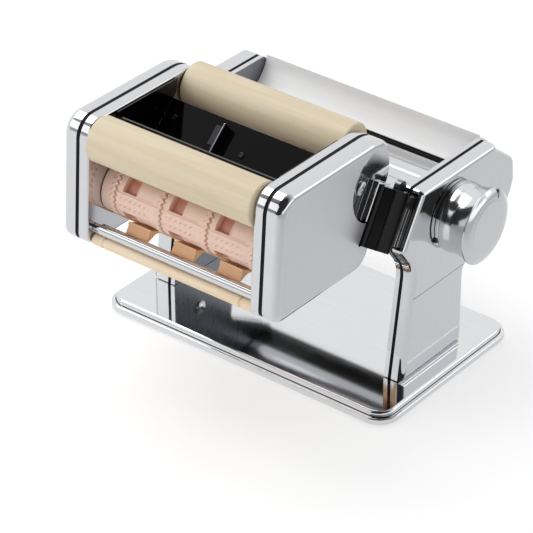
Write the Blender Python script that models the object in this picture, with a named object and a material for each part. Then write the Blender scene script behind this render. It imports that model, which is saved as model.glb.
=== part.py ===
"""Hand-cranked pasta maker with a filled-pasta attachment hung on its front rails.

Metres, +Z up. X runs along the rollers towards the thickness knob, -Y is the front, where the
attachment hangs, and the parts are laid out from the middle of the base pan's top face. The root
empty then sets the origin under the middle of the whole object, on the surface it stands on.
"""

import math

import bmesh
import bpy

# Clearances and cuts
FIT = 0.0003
RUNNING_GAP = 0.0006
OVERRUN = 0.002
THINNEST_RADIUS = 0.00005

# Roundness
ROUND_SIDES = 24
SMALL_SIDES = 12
HEX_SIDES = 6
ARC_STEP = math.radians(30)
EDGE_STEPS = 2
BORE_TURN = math.radians(7)
SHARP_EDGE = math.radians(30)
TRACK_STEP = math.radians(6)

# Base pan and feet
BASE_LENGTH = 0.1966
BASE_WIDTH = 0.1274
BASE_CORNER = 0.0110
BASE_HEIGHT = 0.0070
BASE_WALL = 0.0012
BASE_EDGE_ROLL = 0.0018
BASE_FLANGE = 0.0027
BASE_FLANGE_HEIGHT = 0.0038
FOOT_RADIUS = 0.0065
FOOT_SHOWING = 0.0013
FOOT_INSET = 0.0150

# Columns: one structural plate and one cover on each side
INNER_WIDTH = 0.1504
COLUMN_DEPTH = 0.1151
COLUMN_HEIGHT = 0.1213
PLATE_THICKNESS = 0.0034
COVER_SPLIT = 0.0010
COVER_WALL = 0.0012
COVER_EDGE = 0.0038
RIGHT_COVER_DEPTH = 0.0078
LEFT_COVER_DEPTH = 0.0120
# Side view of a column, from the front of its foot: shares of depth, height and height
COLUMN_OUTLINE_SHARES = (
    (-0.265, 0.000, 0.004),
    (0.271, 0.000, 0.004),
    (0.240, 0.419, 0.050),
    (0.600, 0.614, 0.050),
    (0.637, 0.666, 0.040),
    (0.657, 0.734, 0.050),
    (0.637, 0.848, 0.065),
    (0.478, 0.956, 0.025),
    (0.437, 1.000, 0.032),
    (-0.196, 1.000, 0.025),
    (-0.343, 0.738, 0.021),
    (-0.217, 0.596, 0.165),
)

RAIL_TOP_CORNER = 9
RAIL_FOOT_CORNER = 10

# Smooth rollers
ROLLER_RADIUS = 0.0110
ROLLER_END_GAP = 0.0008
JOURNAL_RADIUS = 0.0045
NIP_DEPTH_SHARE = 0.334
ROLLER_HEIGHT_SHARE = 0.742
OPEN_GAP = 0.0022
CLOSED_GAP = 0.0004
BUSH_WALL = 0.0022
BUSH_FLANGE = 0.0012
ROLLER_GEAR_TEETH = 16
ROLLER_GEAR_WIDTH = 0.0052
TOOTH_OVERLAP = 0.0030
TOOTH_ROOT_GAP = 0.0006
TOOTH_WIDTH_SHARE = 0.40
TOOTH_TIP_SHARE = 0.20
SOCKET_RADIUS = 0.0068
SOCKET_HEX = 0.0042
SOCKET_SHOWING = 0.0040

# Thickness adjuster
KNOB_DEPTH_SHARE = 0.1025
KNOB_HEIGHT_SHARE = 0.7634
ADJUSTER_RADIUS = 0.0028
KNOB_TURN = math.radians(120)
KNOB_POSITIONS = 9
CAM_RADIUS = 0.0056
CAM_CLEARANCE = 0.0003
LINK_THICKNESS = 0.0030
LINK_RIM = 0.0030
COLLAR_RADIUS = 0.0204
COLLAR_THICKNESS = 0.0022
COLLAR_CHAMFER = 0.0007
COLLAR_BORE = 0.0034
DIAL_HOLE_RADIUS = 0.0012
DIAL_TRACK = 0.0008
DIAL_HOLE_CIRCLE = 0.0150
PIN_RADIUS = 0.0006
PIN_ENGAGEMENT = 0.0016
KNOB_PULL = 0.0040
KNOB_LENGTH = 0.0202
KNOB_BACK_RADIUS = 0.0210
KNOB_WAIST_RADIUS = 0.0204
KNOB_WAIST_AT = 0.0075
KNOB_RIM_RADIUS = 0.0230
KNOB_RIM_AT = 0.0172
KNOB_FACE_RADIUS = 0.0160
KNOB_BORE = 0.0100
KNOB_WEB = 0.0024
KNOB_FACE_WALL = 0.0026
SHAFT_HEAD_RADIUS = 0.0080
SHAFT_HEAD = 0.0010
SPRING_WIRE = 0.0005
SPRING_RADIUS = 0.0060
SPRING_CURLS = 4
SPRING_POINTS = 9

# Sheets, guards, scrapers and ties of the machine
SHEET = 0.0010
SHEET_END_GAP = 0.0004
# Cross section of the rear feed sheet: shares of column depth and height
FEED_SHARES = ((0.452, 1.004), (0.442, 0.957), (0.420, 0.921), (0.388, 0.887), (0.358, 0.869))
GUARD_SHARES = ((0.294, 0.866), (0.060, 0.884), (-0.120, 0.880), (-0.176, 0.835), (-0.196, 0.715))
LIP_THICKNESS = 0.0014
REAR_GUARD_SHARES = ((0.476, 0.982), (0.560, 0.925), (0.628, 0.842), (0.640, 0.735), (0.610, 0.655))
SCRAPER_LENGTH = 0.0110
SCRAPER_THICKNESS = 0.0016
SCRAPER_ANGLE = math.radians(38)
TIE_RADIUS = 0.0035
TIE_NECK_RADIUS = 0.0022
TIE_SHARES = {"front": (-0.090, 0.800), "rear": (0.585, 0.790), "lower": (0.020, 0.560)}

# Rails on the front edges of the column heads, and the hooks that hang on them
RAIL_INSET = 0.0008
RAIL_WIDTH = 0.0100
RAIL_DEPTH = 0.0128
RAIL_START_SHARE = 0.10
RAIL_END_SHARE = 0.90
RAIL_SLOT_WIDTH = 0.0038
RAIL_SLOT_DEPTH = 0.0090
RAIL_GROOVE = 0.0009
RAIL_GROOVES = 3
HOOK_DEPTH = 0.0120
HOOK_NOSE = 0.0005
HOOK_LOW_SHARE = -0.03
HOOK_TOP_SHARE = 0.94
HOOK_WINDOW_OUT = 0.0257
TONGUE_LENGTH = 0.0080

# Attachment: pans, covers and cut-outs for its hooks
ATTACHMENT_INNER_WIDTH = 0.1110
ATTACHMENT_PAN_DEPTH = 0.0067
ATTACHMENT_SPLIT = 0.0010
ATTACHMENT_COVER_DEPTH = 0.0101
ATTACHMENT_EDGE = 0.0045
ATTACHMENT_WALL = 0.0012
ATTACHMENT_FRONT_REACH = 0.0427
ATTACHMENT_DROP = 0.0291
ATTACHMENT_RISE = 0.0480
ATTACHMENT_RAIL_GAP = 0.0114
ATTACHMENT_RADII = {"front_low": 0.0075, "rear_low": 0.0130, "rear_top": 0.0240, "front_top": 0.0120}
DISC_RADIUS = 0.0220
DISC_ALONG = 0.0336
DISC_OUT = 0.0285
DISC_FLOOR = 0.0034
BRACKET_FLANGE = 0.0009
SCREW_HEAD_RADIUS = 0.0042
SCREW_HEAD = 0.0016
SCREW_SHANK_RADIUS = 0.0018
SCREW_SHANK = 0.0030
SCREW_ALONG = 0.0295
SCREW_OUT = 0.0375

# Attachment: free rollers and rods, as places from the middle of the moulds' nip, and radii
WOOD_END_GAP = 0.0005
PIN_JOURNAL_RADIUS = 0.0022
JOURNAL_REACH = 0.0032
WOOD_END_ROLL = 0.0012
FRONT_WOOD_FROM_NIP = (-0.0333, 0.0358, 0.0132)
REAR_WOOD_FROM_NIP = (0.0488, 0.0368, 0.0129)
DOWEL_FROM_NIP = (-0.0364, -0.0260, 0.0033)
DOWEL_END_ROLL = 0.0008
DOWEL_JOURNAL_RADIUS = 0.0010
DOWEL_NECK = 0.0007
DOWEL_NECK_AT = 0.0075
DOWEL_NECK_WIDTH = 0.0020
CHROME_ROD_FROM_NIP = (-0.0357, -0.0189, 0.0033)
ROD_COLLAR = 0.0011
ROD_COLLAR_WIDTH = 0.0040
REAR_TIE_FROM_NIP = (0.0245, -0.0233, 0.0030)

# Attachment: mould rollers
MOULD_HEIGHT = 0.1123
MOULD_NIP = -0.0945
MOULD_NIP_GAP = 0.0004
MOULD_RIDGE_RADIUS = 0.0160
MOULD_LAND = 0.0007
MOULD_POCKET = 0.0045
MOULD_CELLS_LONG = 3
MOULD_CELLS_ROUND = 4
MOULD_CELL_PITCH = 0.0315
MOULD_JOURNAL_RADIUS = 0.0040
# Lines of one cell, as shares of it: along the roller with their level, and round it
CELL_LONG_SHARES = (
    (0.04, "ridge"), (0.06, "land"), (0.19, "land"), (0.21, "pocket"),
    (0.47, "pocket"), (0.49, "land"), (0.94, "land"), (0.96, "ridge"),
)
CELL_ROUND_SHARES = ((0.00, "land"), (0.25, "land"), (0.29, "pocket"), (0.71, "pocket"), (0.75, "land"))
MOULD_GEAR_TEETH = 20
MOULD_GEAR_WIDTH = 0.0042
MOULD_TOOTH_OVERLAP = 0.0020

# Attachment: hopper and combs
HOPPER_FRONT_FROM_NIP = ((-0.0185, 0.0429), (-0.0040, 0.0167), (-0.0029, 0.0149))
HOPPER_REAR_FROM_NIP = ((0.0030, 0.0152), (0.0102, 0.0174), (0.0320, 0.0377))
CHEEK_TOP_FROM_NIP = ((0.0335, 0.0462), (-0.0190, 0.0462))
CHEEK = 0.0010
DIVIDER_AT = -0.0120
DIVIDER_HEIGHT = 0.0070
DIVIDER_LENGTH = 0.0220
COMB_GAP = 0.0009
COMB_THICKNESS = 0.0018
COMB_START = math.radians(-142)
COMB_END = math.radians(-62)
COMB_STEPS = 5
COMB_FINGER = 0.0150
COMB_TONGUE = 0.0085
COMB_TONGUE_LEAN = 0.0010
COMB_BAR = 0.0050
COMB_BAR_DROP = 0.0032


def linear(value):
    """The linear value of one sRGB channel from 0 to 255."""
    share = value / 255
    return share / 12.92 if share <= 0.04045 else ((share + 0.055) / 1.055) ** 2.4


def new_material(name, rgb, roughness, metallic):
    material = bpy.data.materials.new(name)
    material.use_nodes = True
    shader = material.node_tree.nodes["Principled BSDF"]
    shader.inputs["Base Color"].default_value = (*[linear(channel) for channel in rgb], 1)
    shader.inputs["Roughness"].default_value = roughness
    shader.inputs["Metallic"].default_value = metallic
    return material


def unit(vector):
    length = math.hypot(*vector)
    return tuple(value / length for value in vector)


def offset_corner(before, corner, after, inset):
    """The corner of an outline whose edges move in by inset; outlines run anticlockwise."""
    first = unit((corner[0] - before[0], corner[1] - before[1]))
    second = unit((after[0] - corner[0], after[1] - corner[1]))
    turn = first[0] * second[1] - first[1] * second[0]
    shift = (second[0] - first[0]) / turn * inset, (second[1] - first[1]) / turn * inset
    return (corner[0] + shift[0], corner[1] + shift[1]), first, second, turn


def outline(corners, inset=0):
    """Points of an outline with rounded corners, each given as (y, z, radius), moved in by inset."""
    points = []
    for index, corner in enumerate(corners):
        after = corners[(index + 1) % len(corners)]
        place, first, second, turn = offset_corner(corners[index - 1], corner, after, inset)
        side = math.copysign(1, turn)
        radius = max(corner[2] - side * inset, THINNEST_RADIUS)
        angle = math.atan2(turn, first[0] * second[0] + first[1] * second[1])
        reach = radius * math.tan(abs(angle) / 2)
        start = place[0] - first[0] * reach, place[1] - first[1] * reach
        centre = start[0] - side * first[1] * radius, start[1] + side * first[0] * radius
        steps = max(2, round(abs(angle) / ARC_STEP))
        begin = math.atan2(start[1] - centre[1], start[0] - centre[0])
        for step in range(steps + 1):
            way = begin + angle * step / steps
            points.append((centre[0] + radius * math.cos(way), centre[1] + radius * math.sin(way)))
    return points


def at_x(x, points):
    return [(x, y, z) for y, z in points]


def circle(x, radius, sides, turned=0):
    """A ring of points round the X axis."""
    angles = [turned + 2 * math.pi * index / sides for index in range(sides)]
    return [(x, radius * math.cos(angle), radius * math.sin(angle)) for angle in angles]


def place(obj, parent, location=(0, 0, 0)):
    obj.parent = parent
    obj.location = location
    bpy.context.scene.collection.objects.link(obj)
    return obj


def loft(name, rings, material, parent, location=(0, 0, 0)):
    """A closed body through rings of points, with a flat cap on the first and the last."""
    build = bmesh.new()
    loops = [[build.verts.new(point) for point in ring] for ring in rings]
    for lower, upper in zip(loops, loops[1:]):
        for index in range(len(lower)):
            build.faces.new((lower[index - 1], lower[index], upper[index], upper[index - 1]))
    build.faces.new(loops[0])
    build.faces.new(loops[-1])
    bmesh.ops.recalc_face_normals(build, faces=build.faces)
    mesh = bpy.data.meshes.new(name)
    build.to_mesh(mesh)
    build.free()
    mesh.shade_smooth()
    mesh.set_sharp_from_angle(angle=SHARP_EDGE)
    if material:
        mesh.materials.append(material)
    return place(bpy.data.objects.new(name, mesh), parent, location)


def cutter(name, rings, parent, location=(0, 0, 0)):
    obj = loft(name, rings, None, parent, location)
    obj.hide_render = True
    obj.display_type = "WIRE"
    return obj


def apply_shape(obj, other, operation="DIFFERENCE"):
    modifier = obj.modifiers.new(other.name, "BOOLEAN")
    modifier.object = other
    modifier.operation = operation


def bore(obj, ends, axis_place, radius, sides=SMALL_SIDES):
    """Cuts a round hole along X through obj; ends are its two X values."""
    rings = [circle(end, radius, sides, BORE_TURN) for end in sorted(ends)]
    location = (0, axis_place[0], axis_place[1])
    apply_shape(obj, cutter(f"{obj.name}_bore_{len(obj.modifiers)}", rings, obj.parent, location))


def slab(x_low, x_high, corners):
    """Two rings of one side-view polygon."""
    return [at_x(x_low, corners), at_x(x_high, corners)]


def pan(name, side, corners, open_at, depth, wall, edge, material, parent):
    """A pressed shell whose open side is at open_at and whose flat face lies depth further out."""
    face = open_at + depth
    rings = [at_x(side * open_at, outline(corners, wall)), at_x(side * open_at, outline(corners))]
    for step in range(EDGE_STEPS + 1):
        angle = math.pi / 2 * step / EDGE_STEPS
        outwards = 1 - math.cos(angle)
        back = 1 - math.sin(angle)
        rings.append(at_x(side * (face - edge * back), outline(corners, edge * outwards)))
        inner = max(edge - wall, THINNEST_RADIUS)
        inside = outline(corners, wall + inner * outwards)
        rings.insert(0, at_x(side * (face - wall - inner * back), inside))
    return loft(name, rings, material, parent)


def turned(name, profile, sides, axis_place, material, parent, x=0):
    """A turned piece on an X axis, from a profile of (x, radius)."""
    rings = [circle(along, radius, sides) for along, radius in profile]
    return loft(name, rings, material, parent, (x, axis_place[0], axis_place[1]))


def thick_path(path, thickness):
    """The closed outline of a bent sheet whose lower or inner side follows path."""
    outer = []
    for index, (y, z) in enumerate(path):
        before = path[max(index - 1, 0)]
        after = path[min(index + 1, len(path) - 1)]
        way = unit((after[0] - before[0], after[1] - before[1]))
        outer.append((y - way[1] * thickness, z + way[0] * thickness))
    return list(path) + outer[::-1]


def bent_sheet(name, path, thickness, half_width, material, parent):
    return loft(name, slab(-half_width, half_width, thick_path(path, thickness)), material, parent)


def gear_outline(teeth, tip_radius, root_radius, phase):
    """Straight-sided teeth; one tooth is centred on the angle phase."""
    pitch = 2 * math.pi / teeth
    points = []
    for tooth in range(teeth):
        middle = phase + tooth * pitch
        for share, radius in (
            (-TOOTH_WIDTH_SHARE / 2, root_radius),
            (-TOOTH_TIP_SHARE / 2, tip_radius),
            (TOOTH_TIP_SHARE / 2, tip_radius),
            (TOOTH_WIDTH_SHARE / 2, root_radius),
        ):
            angle = middle + share * pitch
            points.append((radius * math.cos(angle), radius * math.sin(angle)))
    return points


def gear(name, x_ends, axis_place, distance, overlap, teeth, phase, bore_radius, material, parent):
    """A spur gear for a pair whose axes are distance apart when closest."""
    tip = (distance + overlap) / 2
    root = distance - tip - TOOTH_ROOT_GAP
    points = gear_outline(teeth, tip, root, phase)
    low, high = sorted(x_ends)
    obj = loft(name, slab(low, high, points), material, parent, (0, *axis_place))
    bore(obj, (low - OVERRUN, high + OVERRUN), axis_place, bore_radius)
    return obj


def column_corners():
    corners = []
    for depth_share, height_share, radius_share in COLUMN_OUTLINE_SHARES:
        z = max(height_share * COLUMN_HEIGHT, FIT)
        corners.append((depth_share * COLUMN_DEPTH, z, radius_share * COLUMN_HEIGHT))
    return corners


def column_place(depth_share, height_share):
    return depth_share * COLUMN_DEPTH, height_share * COLUMN_HEIGHT


def from_nip(offset):
    """A place in the side view, given from the middle of the mould rollers' nip; a radius stays."""
    return MOULD_NIP + offset[0], MOULD_HEIGHT + offset[1], *offset[2:]


# Places that several pieces share
COLUMN = column_corners()
INNER_FACE = INNER_WIDTH / 2
COVER_START = INNER_FACE + PLATE_THICKNESS + COVER_SPLIT
RIGHT_FACE = COVER_START + RIGHT_COVER_DEPTH
LEFT_FACE = COVER_START + LEFT_COVER_DEPTH
ROLLER_Z = ROLLER_HEIGHT_SHARE * COLUMN_HEIGHT
NIP_Y = NIP_DEPTH_SHARE * COLUMN_DEPTH
ROLLER_REACH = ROLLER_RADIUS + OPEN_GAP / 2
FRONT_ROLLER = (NIP_Y - ROLLER_REACH, ROLLER_Z)
REAR_ROLLER = (NIP_Y + ROLLER_REACH, ROLLER_Z)
ROLLER_TRAVEL = OPEN_GAP - CLOSED_GAP
KNOB_AXIS = column_place(KNOB_DEPTH_SHARE, KNOB_HEIGHT_SHARE)
CAM_THROW = ROLLER_TRAVEL / (2 * math.sin(KNOB_TURN / 2))
LINK_START = INNER_FACE + PLATE_THICKNESS + FIT
RAIL_FOOT = COLUMN[RAIL_FOOT_CORNER][:2]
RAIL_TOP = COLUMN[RAIL_TOP_CORNER][:2]
RAIL_UP = unit((RAIL_TOP[0] - RAIL_FOOT[0], RAIL_TOP[1] - RAIL_FOOT[1]))
RAIL_OUT = (-RAIL_UP[1], RAIL_UP[0])
RAIL_LENGTH = math.dist(RAIL_TOP, RAIL_FOOT)
PAN_START = ATTACHMENT_INNER_WIDTH / 2
ATTACHMENT_COVER_START = PAN_START + ATTACHMENT_PAN_DEPTH + ATTACHMENT_SPLIT
ATTACHMENT_FACE = ATTACHMENT_COVER_START + ATTACHMENT_COVER_DEPTH
MOULD_REACH = MOULD_RIDGE_RADIUS + MOULD_NIP_GAP / 2
FRONT_MOULD = (MOULD_NIP - MOULD_REACH, MOULD_HEIGHT)
REAR_MOULD = (MOULD_NIP + MOULD_REACH, MOULD_HEIGHT)
HOOK_OUT = RAIL_DEPTH + 2 * FIT
FRONT_WOOD = from_nip(FRONT_WOOD_FROM_NIP)
REAR_WOOD = from_nip(REAR_WOOD_FROM_NIP)
DOWEL = from_nip(DOWEL_FROM_NIP)
CHROME_ROD = from_nip(CHROME_ROD_FROM_NIP)
REAR_TIE = from_nip(REAR_TIE_FROM_NIP)
HOPPER_FRONT = [from_nip(offset) for offset in HOPPER_FRONT_FROM_NIP]
HOPPER_REAR = [from_nip(offset) for offset in HOPPER_REAR_FROM_NIP]
CHEEK_TOP = [from_nip(offset) for offset in CHEEK_TOP_FROM_NIP]
ATTACHMENT_FRONT = MOULD_NIP - ATTACHMENT_FRONT_REACH
ATTACHMENT_BOTTOM = MOULD_HEIGHT - ATTACHMENT_DROP
ATTACHMENT_TOP = MOULD_HEIGHT + ATTACHMENT_RISE


def on_rail(along, out):
    """A place in the side view, from the rail's foot: along the rail, and out from the head."""
    y = RAIL_FOOT[0] + along * RAIL_UP[0] + out * RAIL_OUT[0]
    return y, RAIL_FOOT[1] + along * RAIL_UP[1] + out * RAIL_OUT[1]


def rail_box(start, end, low, high):
    """A side-view rectangle in the rail's own directions."""
    return [on_rail(start, low), on_rail(start, high), on_rail(end, high), on_rail(end, low)]


def attachment_corners():
    """Side view of the attachment: its rear edge runs alongside the rails."""
    rise = RAIL_UP[0] / RAIL_UP[1]
    anchor = on_rail(0, ATTACHMENT_RAIL_GAP)
    rear_low = anchor[0] + (ATTACHMENT_BOTTOM - anchor[1]) * rise
    rear_top = anchor[0] + (ATTACHMENT_TOP - anchor[1]) * rise
    return [
        (ATTACHMENT_FRONT, ATTACHMENT_BOTTOM, ATTACHMENT_RADII["front_low"]),
        (rear_low, ATTACHMENT_BOTTOM, ATTACHMENT_RADII["rear_low"]),
        (rear_top, ATTACHMENT_TOP, ATTACHMENT_RADII["rear_top"]),
        (ATTACHMENT_FRONT, ATTACHMENT_TOP, ATTACHMENT_RADII["front_top"]),
    ]


def root_place():
    """Puts the origin under the middle of the object's box, on the surface it stands on."""
    left = -max(BASE_LENGTH / 2 + BASE_FLANGE, LEFT_FACE + SOCKET_SHOWING)
    right = RIGHT_FACE + FIT + COLLAR_THICKNESS + FIT + KNOB_LENGTH
    front = min(ATTACHMENT_FRONT, FRONT_WOOD[0] - FRONT_WOOD[2])
    rear = max(point[0] for point in outline(COLUMN))
    return -(left + right) / 2, -(front + rear) / 2, BASE_HEIGHT + FOOT_SHOWING


def base_ring(z, outset):
    corner = BASE_CORNER + outset
    x = BASE_LENGTH / 2 + outset
    y = BASE_WIDTH / 2 + outset
    corners = [(-x, -y, corner), (x, -y, corner), (x, y, corner), (-x, y, corner)]
    return [(across, along, z) for across, along in outline(corners)]


def make_base(steel, rubber, parent):
    flange_top = BASE_FLANGE_HEIGHT - BASE_HEIGHT
    rings = [
        base_ring(-BASE_WALL, -BASE_WALL),
        base_ring(flange_top - BASE_WALL, -BASE_WALL),
        base_ring(flange_top - BASE_WALL, BASE_FLANGE - BASE_WALL),
        base_ring(-BASE_HEIGHT, BASE_FLANGE - BASE_WALL),
        base_ring(-BASE_HEIGHT, BASE_FLANGE),
        base_ring(flange_top - BASE_WALL / 2, BASE_FLANGE),
        base_ring(flange_top, BASE_FLANGE - BASE_WALL / 2),
        base_ring(flange_top, 0),
    ]
    for step in range(EDGE_STEPS + 1):
        angle = math.pi / 2 * step / EDGE_STEPS
        height = BASE_EDGE_ROLL * (1 - math.sin(angle))
        rings.append(base_ring(-height, -BASE_EDGE_ROLL * (1 - math.cos(angle))))
    loft("base_pan", rings, steel, parent)
    reach = BASE_LENGTH / 2 - FOOT_INSET, BASE_WIDTH / 2 - FOOT_INSET
    for across, x in (("left", -reach[0]), ("right", reach[0])):
        for along, y in (("front", -reach[1]), ("rear", reach[1])):
            make_foot(f"foot_{along}_{across}", x, y, rubber, parent)


def make_foot(name, x, y, rubber, parent):
    """A rubber foot that stands under the pan's top sheet."""
    bottom = -BASE_HEIGHT - FOOT_SHOWING
    top = -BASE_WALL - FIT
    curve = FOOT_SHOWING / 2
    shape = ((bottom, FOOT_RADIUS - curve), (bottom + curve, FOOT_RADIUS), (top, FOOT_RADIUS))
    rings = []
    for z, radius in shape:
        rings.append([(across, along, z) for _, across, along in circle(0, radius, SMALL_SIDES)])
    loft(name, rings, rubber, parent, (x, y, 0))


def make_column(side, word, parts, parent):
    """The structural plate and the pressed cover of one side."""
    inner, outer = INNER_FACE, INNER_FACE + PLATE_THICKNESS
    ends = side * (inner - OVERRUN), side * (outer + OVERRUN)
    rings = slab(side * inner, side * outer, outline(COLUMN))
    plate = loft(f"column_plate_{word}", rings, parts["steel"], parent)
    bore(plate, ends, KNOB_AXIS, ADJUSTER_RADIUS + FIT)
    bore(plate, ends, REAR_ROLLER, JOURNAL_RADIUS + BUSH_WALL + FIT)
    slot = stadium(FRONT_ROLLER, ROLLER_TRAVEL, JOURNAL_RADIUS + FIT)
    apply_shape(plate, cutter(f"{plate.name}_slot", slab(*sorted(ends), slot), parent))
    for tie in TIE_SHARES.values():
        bore(plate, ends, column_place(*tie), TIE_NECK_RADIUS + FIT)
    depth = RIGHT_COVER_DEPTH if side > 0 else LEFT_COVER_DEPTH
    name = f"column_cover_{word}"
    return pan(name, side, COLUMN, COVER_START, depth, COVER_WALL, COVER_EDGE, parts["chrome"], parent)


def stadium(start, travel, radius):
    """A slot outline round a pin that moves by travel towards +Y."""
    points = []
    half = SMALL_SIDES // 2
    for step in range(half + 1):
        angle = -math.pi / 2 + math.pi * step / half
        points.append((start[0] + travel + radius * math.cos(angle), start[1] + radius * math.sin(angle)))
    for step in range(half + 1):
        angle = math.pi / 2 + math.pi * step / half
        points.append((start[0] + radius * math.cos(angle), start[1] + radius * math.sin(angle)))
    return points


def make_columns(parts, parent):
    right = make_column(1, "right", parts, parent)
    bore(right, (RIGHT_FACE - COVER_WALL - OVERRUN, RIGHT_FACE + OVERRUN), KNOB_AXIS, ADJUSTER_RADIUS + FIT)
    left = make_column(-1, "left", parts, parent)
    ends = -LEFT_FACE - OVERRUN, -LEFT_FACE + COVER_WALL + OVERRUN
    bore(left, ends, REAR_ROLLER, SOCKET_RADIUS + RUNNING_GAP)
    for side, word in ((1, "right"), (-1, "left")):
        make_bush(side, word, parts["bronze"], parent)


def make_bush(side, word, bronze, parent):
    """The flanged bush that carries one journal of the rear roller in its plate."""
    outer = JOURNAL_RADIUS + BUSH_WALL
    start = INNER_FACE
    end = INNER_FACE + PLATE_THICKNESS + FIT
    profile = (
        (side * start, JOURNAL_RADIUS + FIT), (side * start, outer), (side * end, outer),
        (side * end, outer + BUSH_FLANGE), (side * (end + BUSH_FLANGE), outer + BUSH_FLANGE),
        (side * (end + BUSH_FLANGE), JOURNAL_RADIUS + FIT),
    )
    closed_ring(f"rear_bush_{word}", profile, SMALL_SIDES, REAR_ROLLER, bronze, parent)


def closed_ring(name, profile, sides, axis_place, material, parent, x=0):
    """A turned piece with a hole right through it, from a closed profile of (x, radius)."""
    build = bmesh.new()
    rings = [circle(along, radius, sides) for along, radius in profile]
    loops = [[build.verts.new(point) for point in ring] for ring in rings]
    for lower, upper in zip(loops, loops[1:] + loops[:1]):
        for index in range(sides):
            build.faces.new((lower[index - 1], lower[index], upper[index], upper[index - 1]))
    bmesh.ops.recalc_face_normals(build, faces=build.faces)
    mesh = bpy.data.meshes.new(name)
    build.to_mesh(mesh)
    build.free()
    mesh.shade_smooth()
    mesh.set_sharp_from_angle(angle=SHARP_EDGE)
    mesh.materials.append(material)
    return place(bpy.data.objects.new(name, mesh), parent, (x, *axis_place))


def make_rollers(parts, parent):
    """The two smooth rollers with their meshing gears, and the socket that takes the crank."""
    half = INNER_FACE - ROLLER_END_GAP
    gear_start = LINK_START + LINK_THICKNESS + 2 * FIT
    gear_end = gear_start + ROLLER_GEAR_WIDTH
    right_end = INNER_FACE + PLATE_THICKNESS + LINK_THICKNESS
    closest = 2 * ROLLER_RADIUS + CLOSED_GAP
    half_tooth = math.pi / ROLLER_GEAR_TEETH
    for word, axis_place, phase in (("front", FRONT_ROLLER, 0), ("rear", REAR_ROLLER, half_tooth)):
        reach = gear_end + FIT
        profile = (
            (-reach, JOURNAL_RADIUS), (-half, JOURNAL_RADIUS), (-half, ROLLER_RADIUS),
            (half, ROLLER_RADIUS), (half, JOURNAL_RADIUS), (right_end, JOURNAL_RADIUS),
        )
        turned(f"{word}_smooth_roller", profile, ROUND_SIDES, axis_place, parts["steel"], parent)
        gear(
            f"{word}_roller_gear", (-gear_start, -gear_end), axis_place, closest, TOOTH_OVERLAP,
            ROLLER_GEAR_TEETH, phase, JOURNAL_RADIUS + FIT, parts["bronze"], parent,
        )
    start = gear_end + 2 * FIT
    end = LEFT_FACE + SOCKET_SHOWING
    socket = turned(
        "crank_socket", ((-start, SOCKET_RADIUS), (-end, SOCKET_RADIUS)), ROUND_SIDES, REAR_ROLLER,
        parts["steel"], parent,
    )
    hexagon = [circle(x, SOCKET_HEX, HEX_SIDES) for x in (-end - OVERRUN, -start + OVERRUN)]
    apply_shape(socket, cutter("crank_socket_hex", hexagon, parent, (0, *REAR_ROLLER)))


def make_adjuster(parts, parent):
    """The cam shaft, the two links that carry the front roller, the dial collar and the knob."""
    cam_end = LINK_START + LINK_THICKNESS
    collar_start = RIGHT_FACE + FIT
    collar_end = collar_start + COLLAR_THICKNESS
    knob_start = collar_end + FIT
    head_start = knob_start + KNOB_LENGTH - KNOB_FACE_WALL - KNOB_PULL / 2 - SHAFT_HEAD
    turned(
        "adjusting_shaft",
        (
            (-cam_end - FIT, ADJUSTER_RADIUS), (head_start, ADJUSTER_RADIUS),
            (head_start, SHAFT_HEAD_RADIUS), (head_start + SHAFT_HEAD, SHAFT_HEAD_RADIUS),
        ),
        SMALL_SIDES, KNOB_AXIS, parts["steel"], parent,
    )
    start_angle = -KNOB_TURN / 2
    throw = CAM_THROW * math.sin(start_angle), -CAM_THROW * math.cos(start_angle)
    for side, word in ((1, "right"), (-1, "left")):
        cam_ends = sorted((side * LINK_START, side * cam_end))
        rings = [
            [(x, y + throw[0], z + throw[1]) for x, y, z in circle(end, CAM_RADIUS, ROUND_SIDES)]
            for end in cam_ends
        ]
        cam = cutter(f"cam_shape_{word}", rings, parent, (0, *KNOB_AXIS))
        apply_shape(bpy.data.objects["adjusting_shaft"], cam, "UNION")
        make_link(side, word, throw, parts["bronze"], parent)
    make_collar(collar_start, collar_end, parts["chrome"], parent)
    make_knob(knob_start, head_start, parts, parent)


def make_link(side, word, throw, bronze, parent):
    """A flat link: the cam works in its window, and the front roller's journal turns in its hole."""
    window_y = CAM_RADIUS + CAM_CLEARANCE
    window_z = CAM_RADIUS + CAM_THROW + CAM_CLEARANCE
    centre = KNOB_AXIS[0] + throw[0], KNOB_AXIS[1]
    low = centre[0] - window_y - LINK_RIM
    high = FRONT_ROLLER[0] + JOURNAL_RADIUS + LINK_RIM
    bottom = min(centre[1] - window_z, FRONT_ROLLER[1] - JOURNAL_RADIUS) - LINK_RIM
    top = max(centre[1] + window_z, FRONT_ROLLER[1] + JOURNAL_RADIUS) + LINK_RIM
    radius = LINK_RIM / 2
    corners = [(low, bottom, radius), (high, bottom, radius), (high, top, radius), (low, top, radius)]
    ends = sorted((side * LINK_START, side * (LINK_START + LINK_THICKNESS)))
    link = loft(f"roller_link_{word}", slab(*ends, outline(corners)), bronze, parent)
    past = ends[0] - OVERRUN, ends[1] + OVERRUN
    window = [
        (centre[0] - window_y, centre[1] - window_z), (centre[0] + window_y, centre[1] - window_z),
        (centre[0] + window_y, centre[1] + window_z), (centre[0] - window_y, centre[1] + window_z),
    ]
    apply_shape(link, cutter(f"{link.name}_window", slab(*past, window), parent))
    bore(link, past, FRONT_ROLLER, JOURNAL_RADIUS + FIT)


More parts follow.
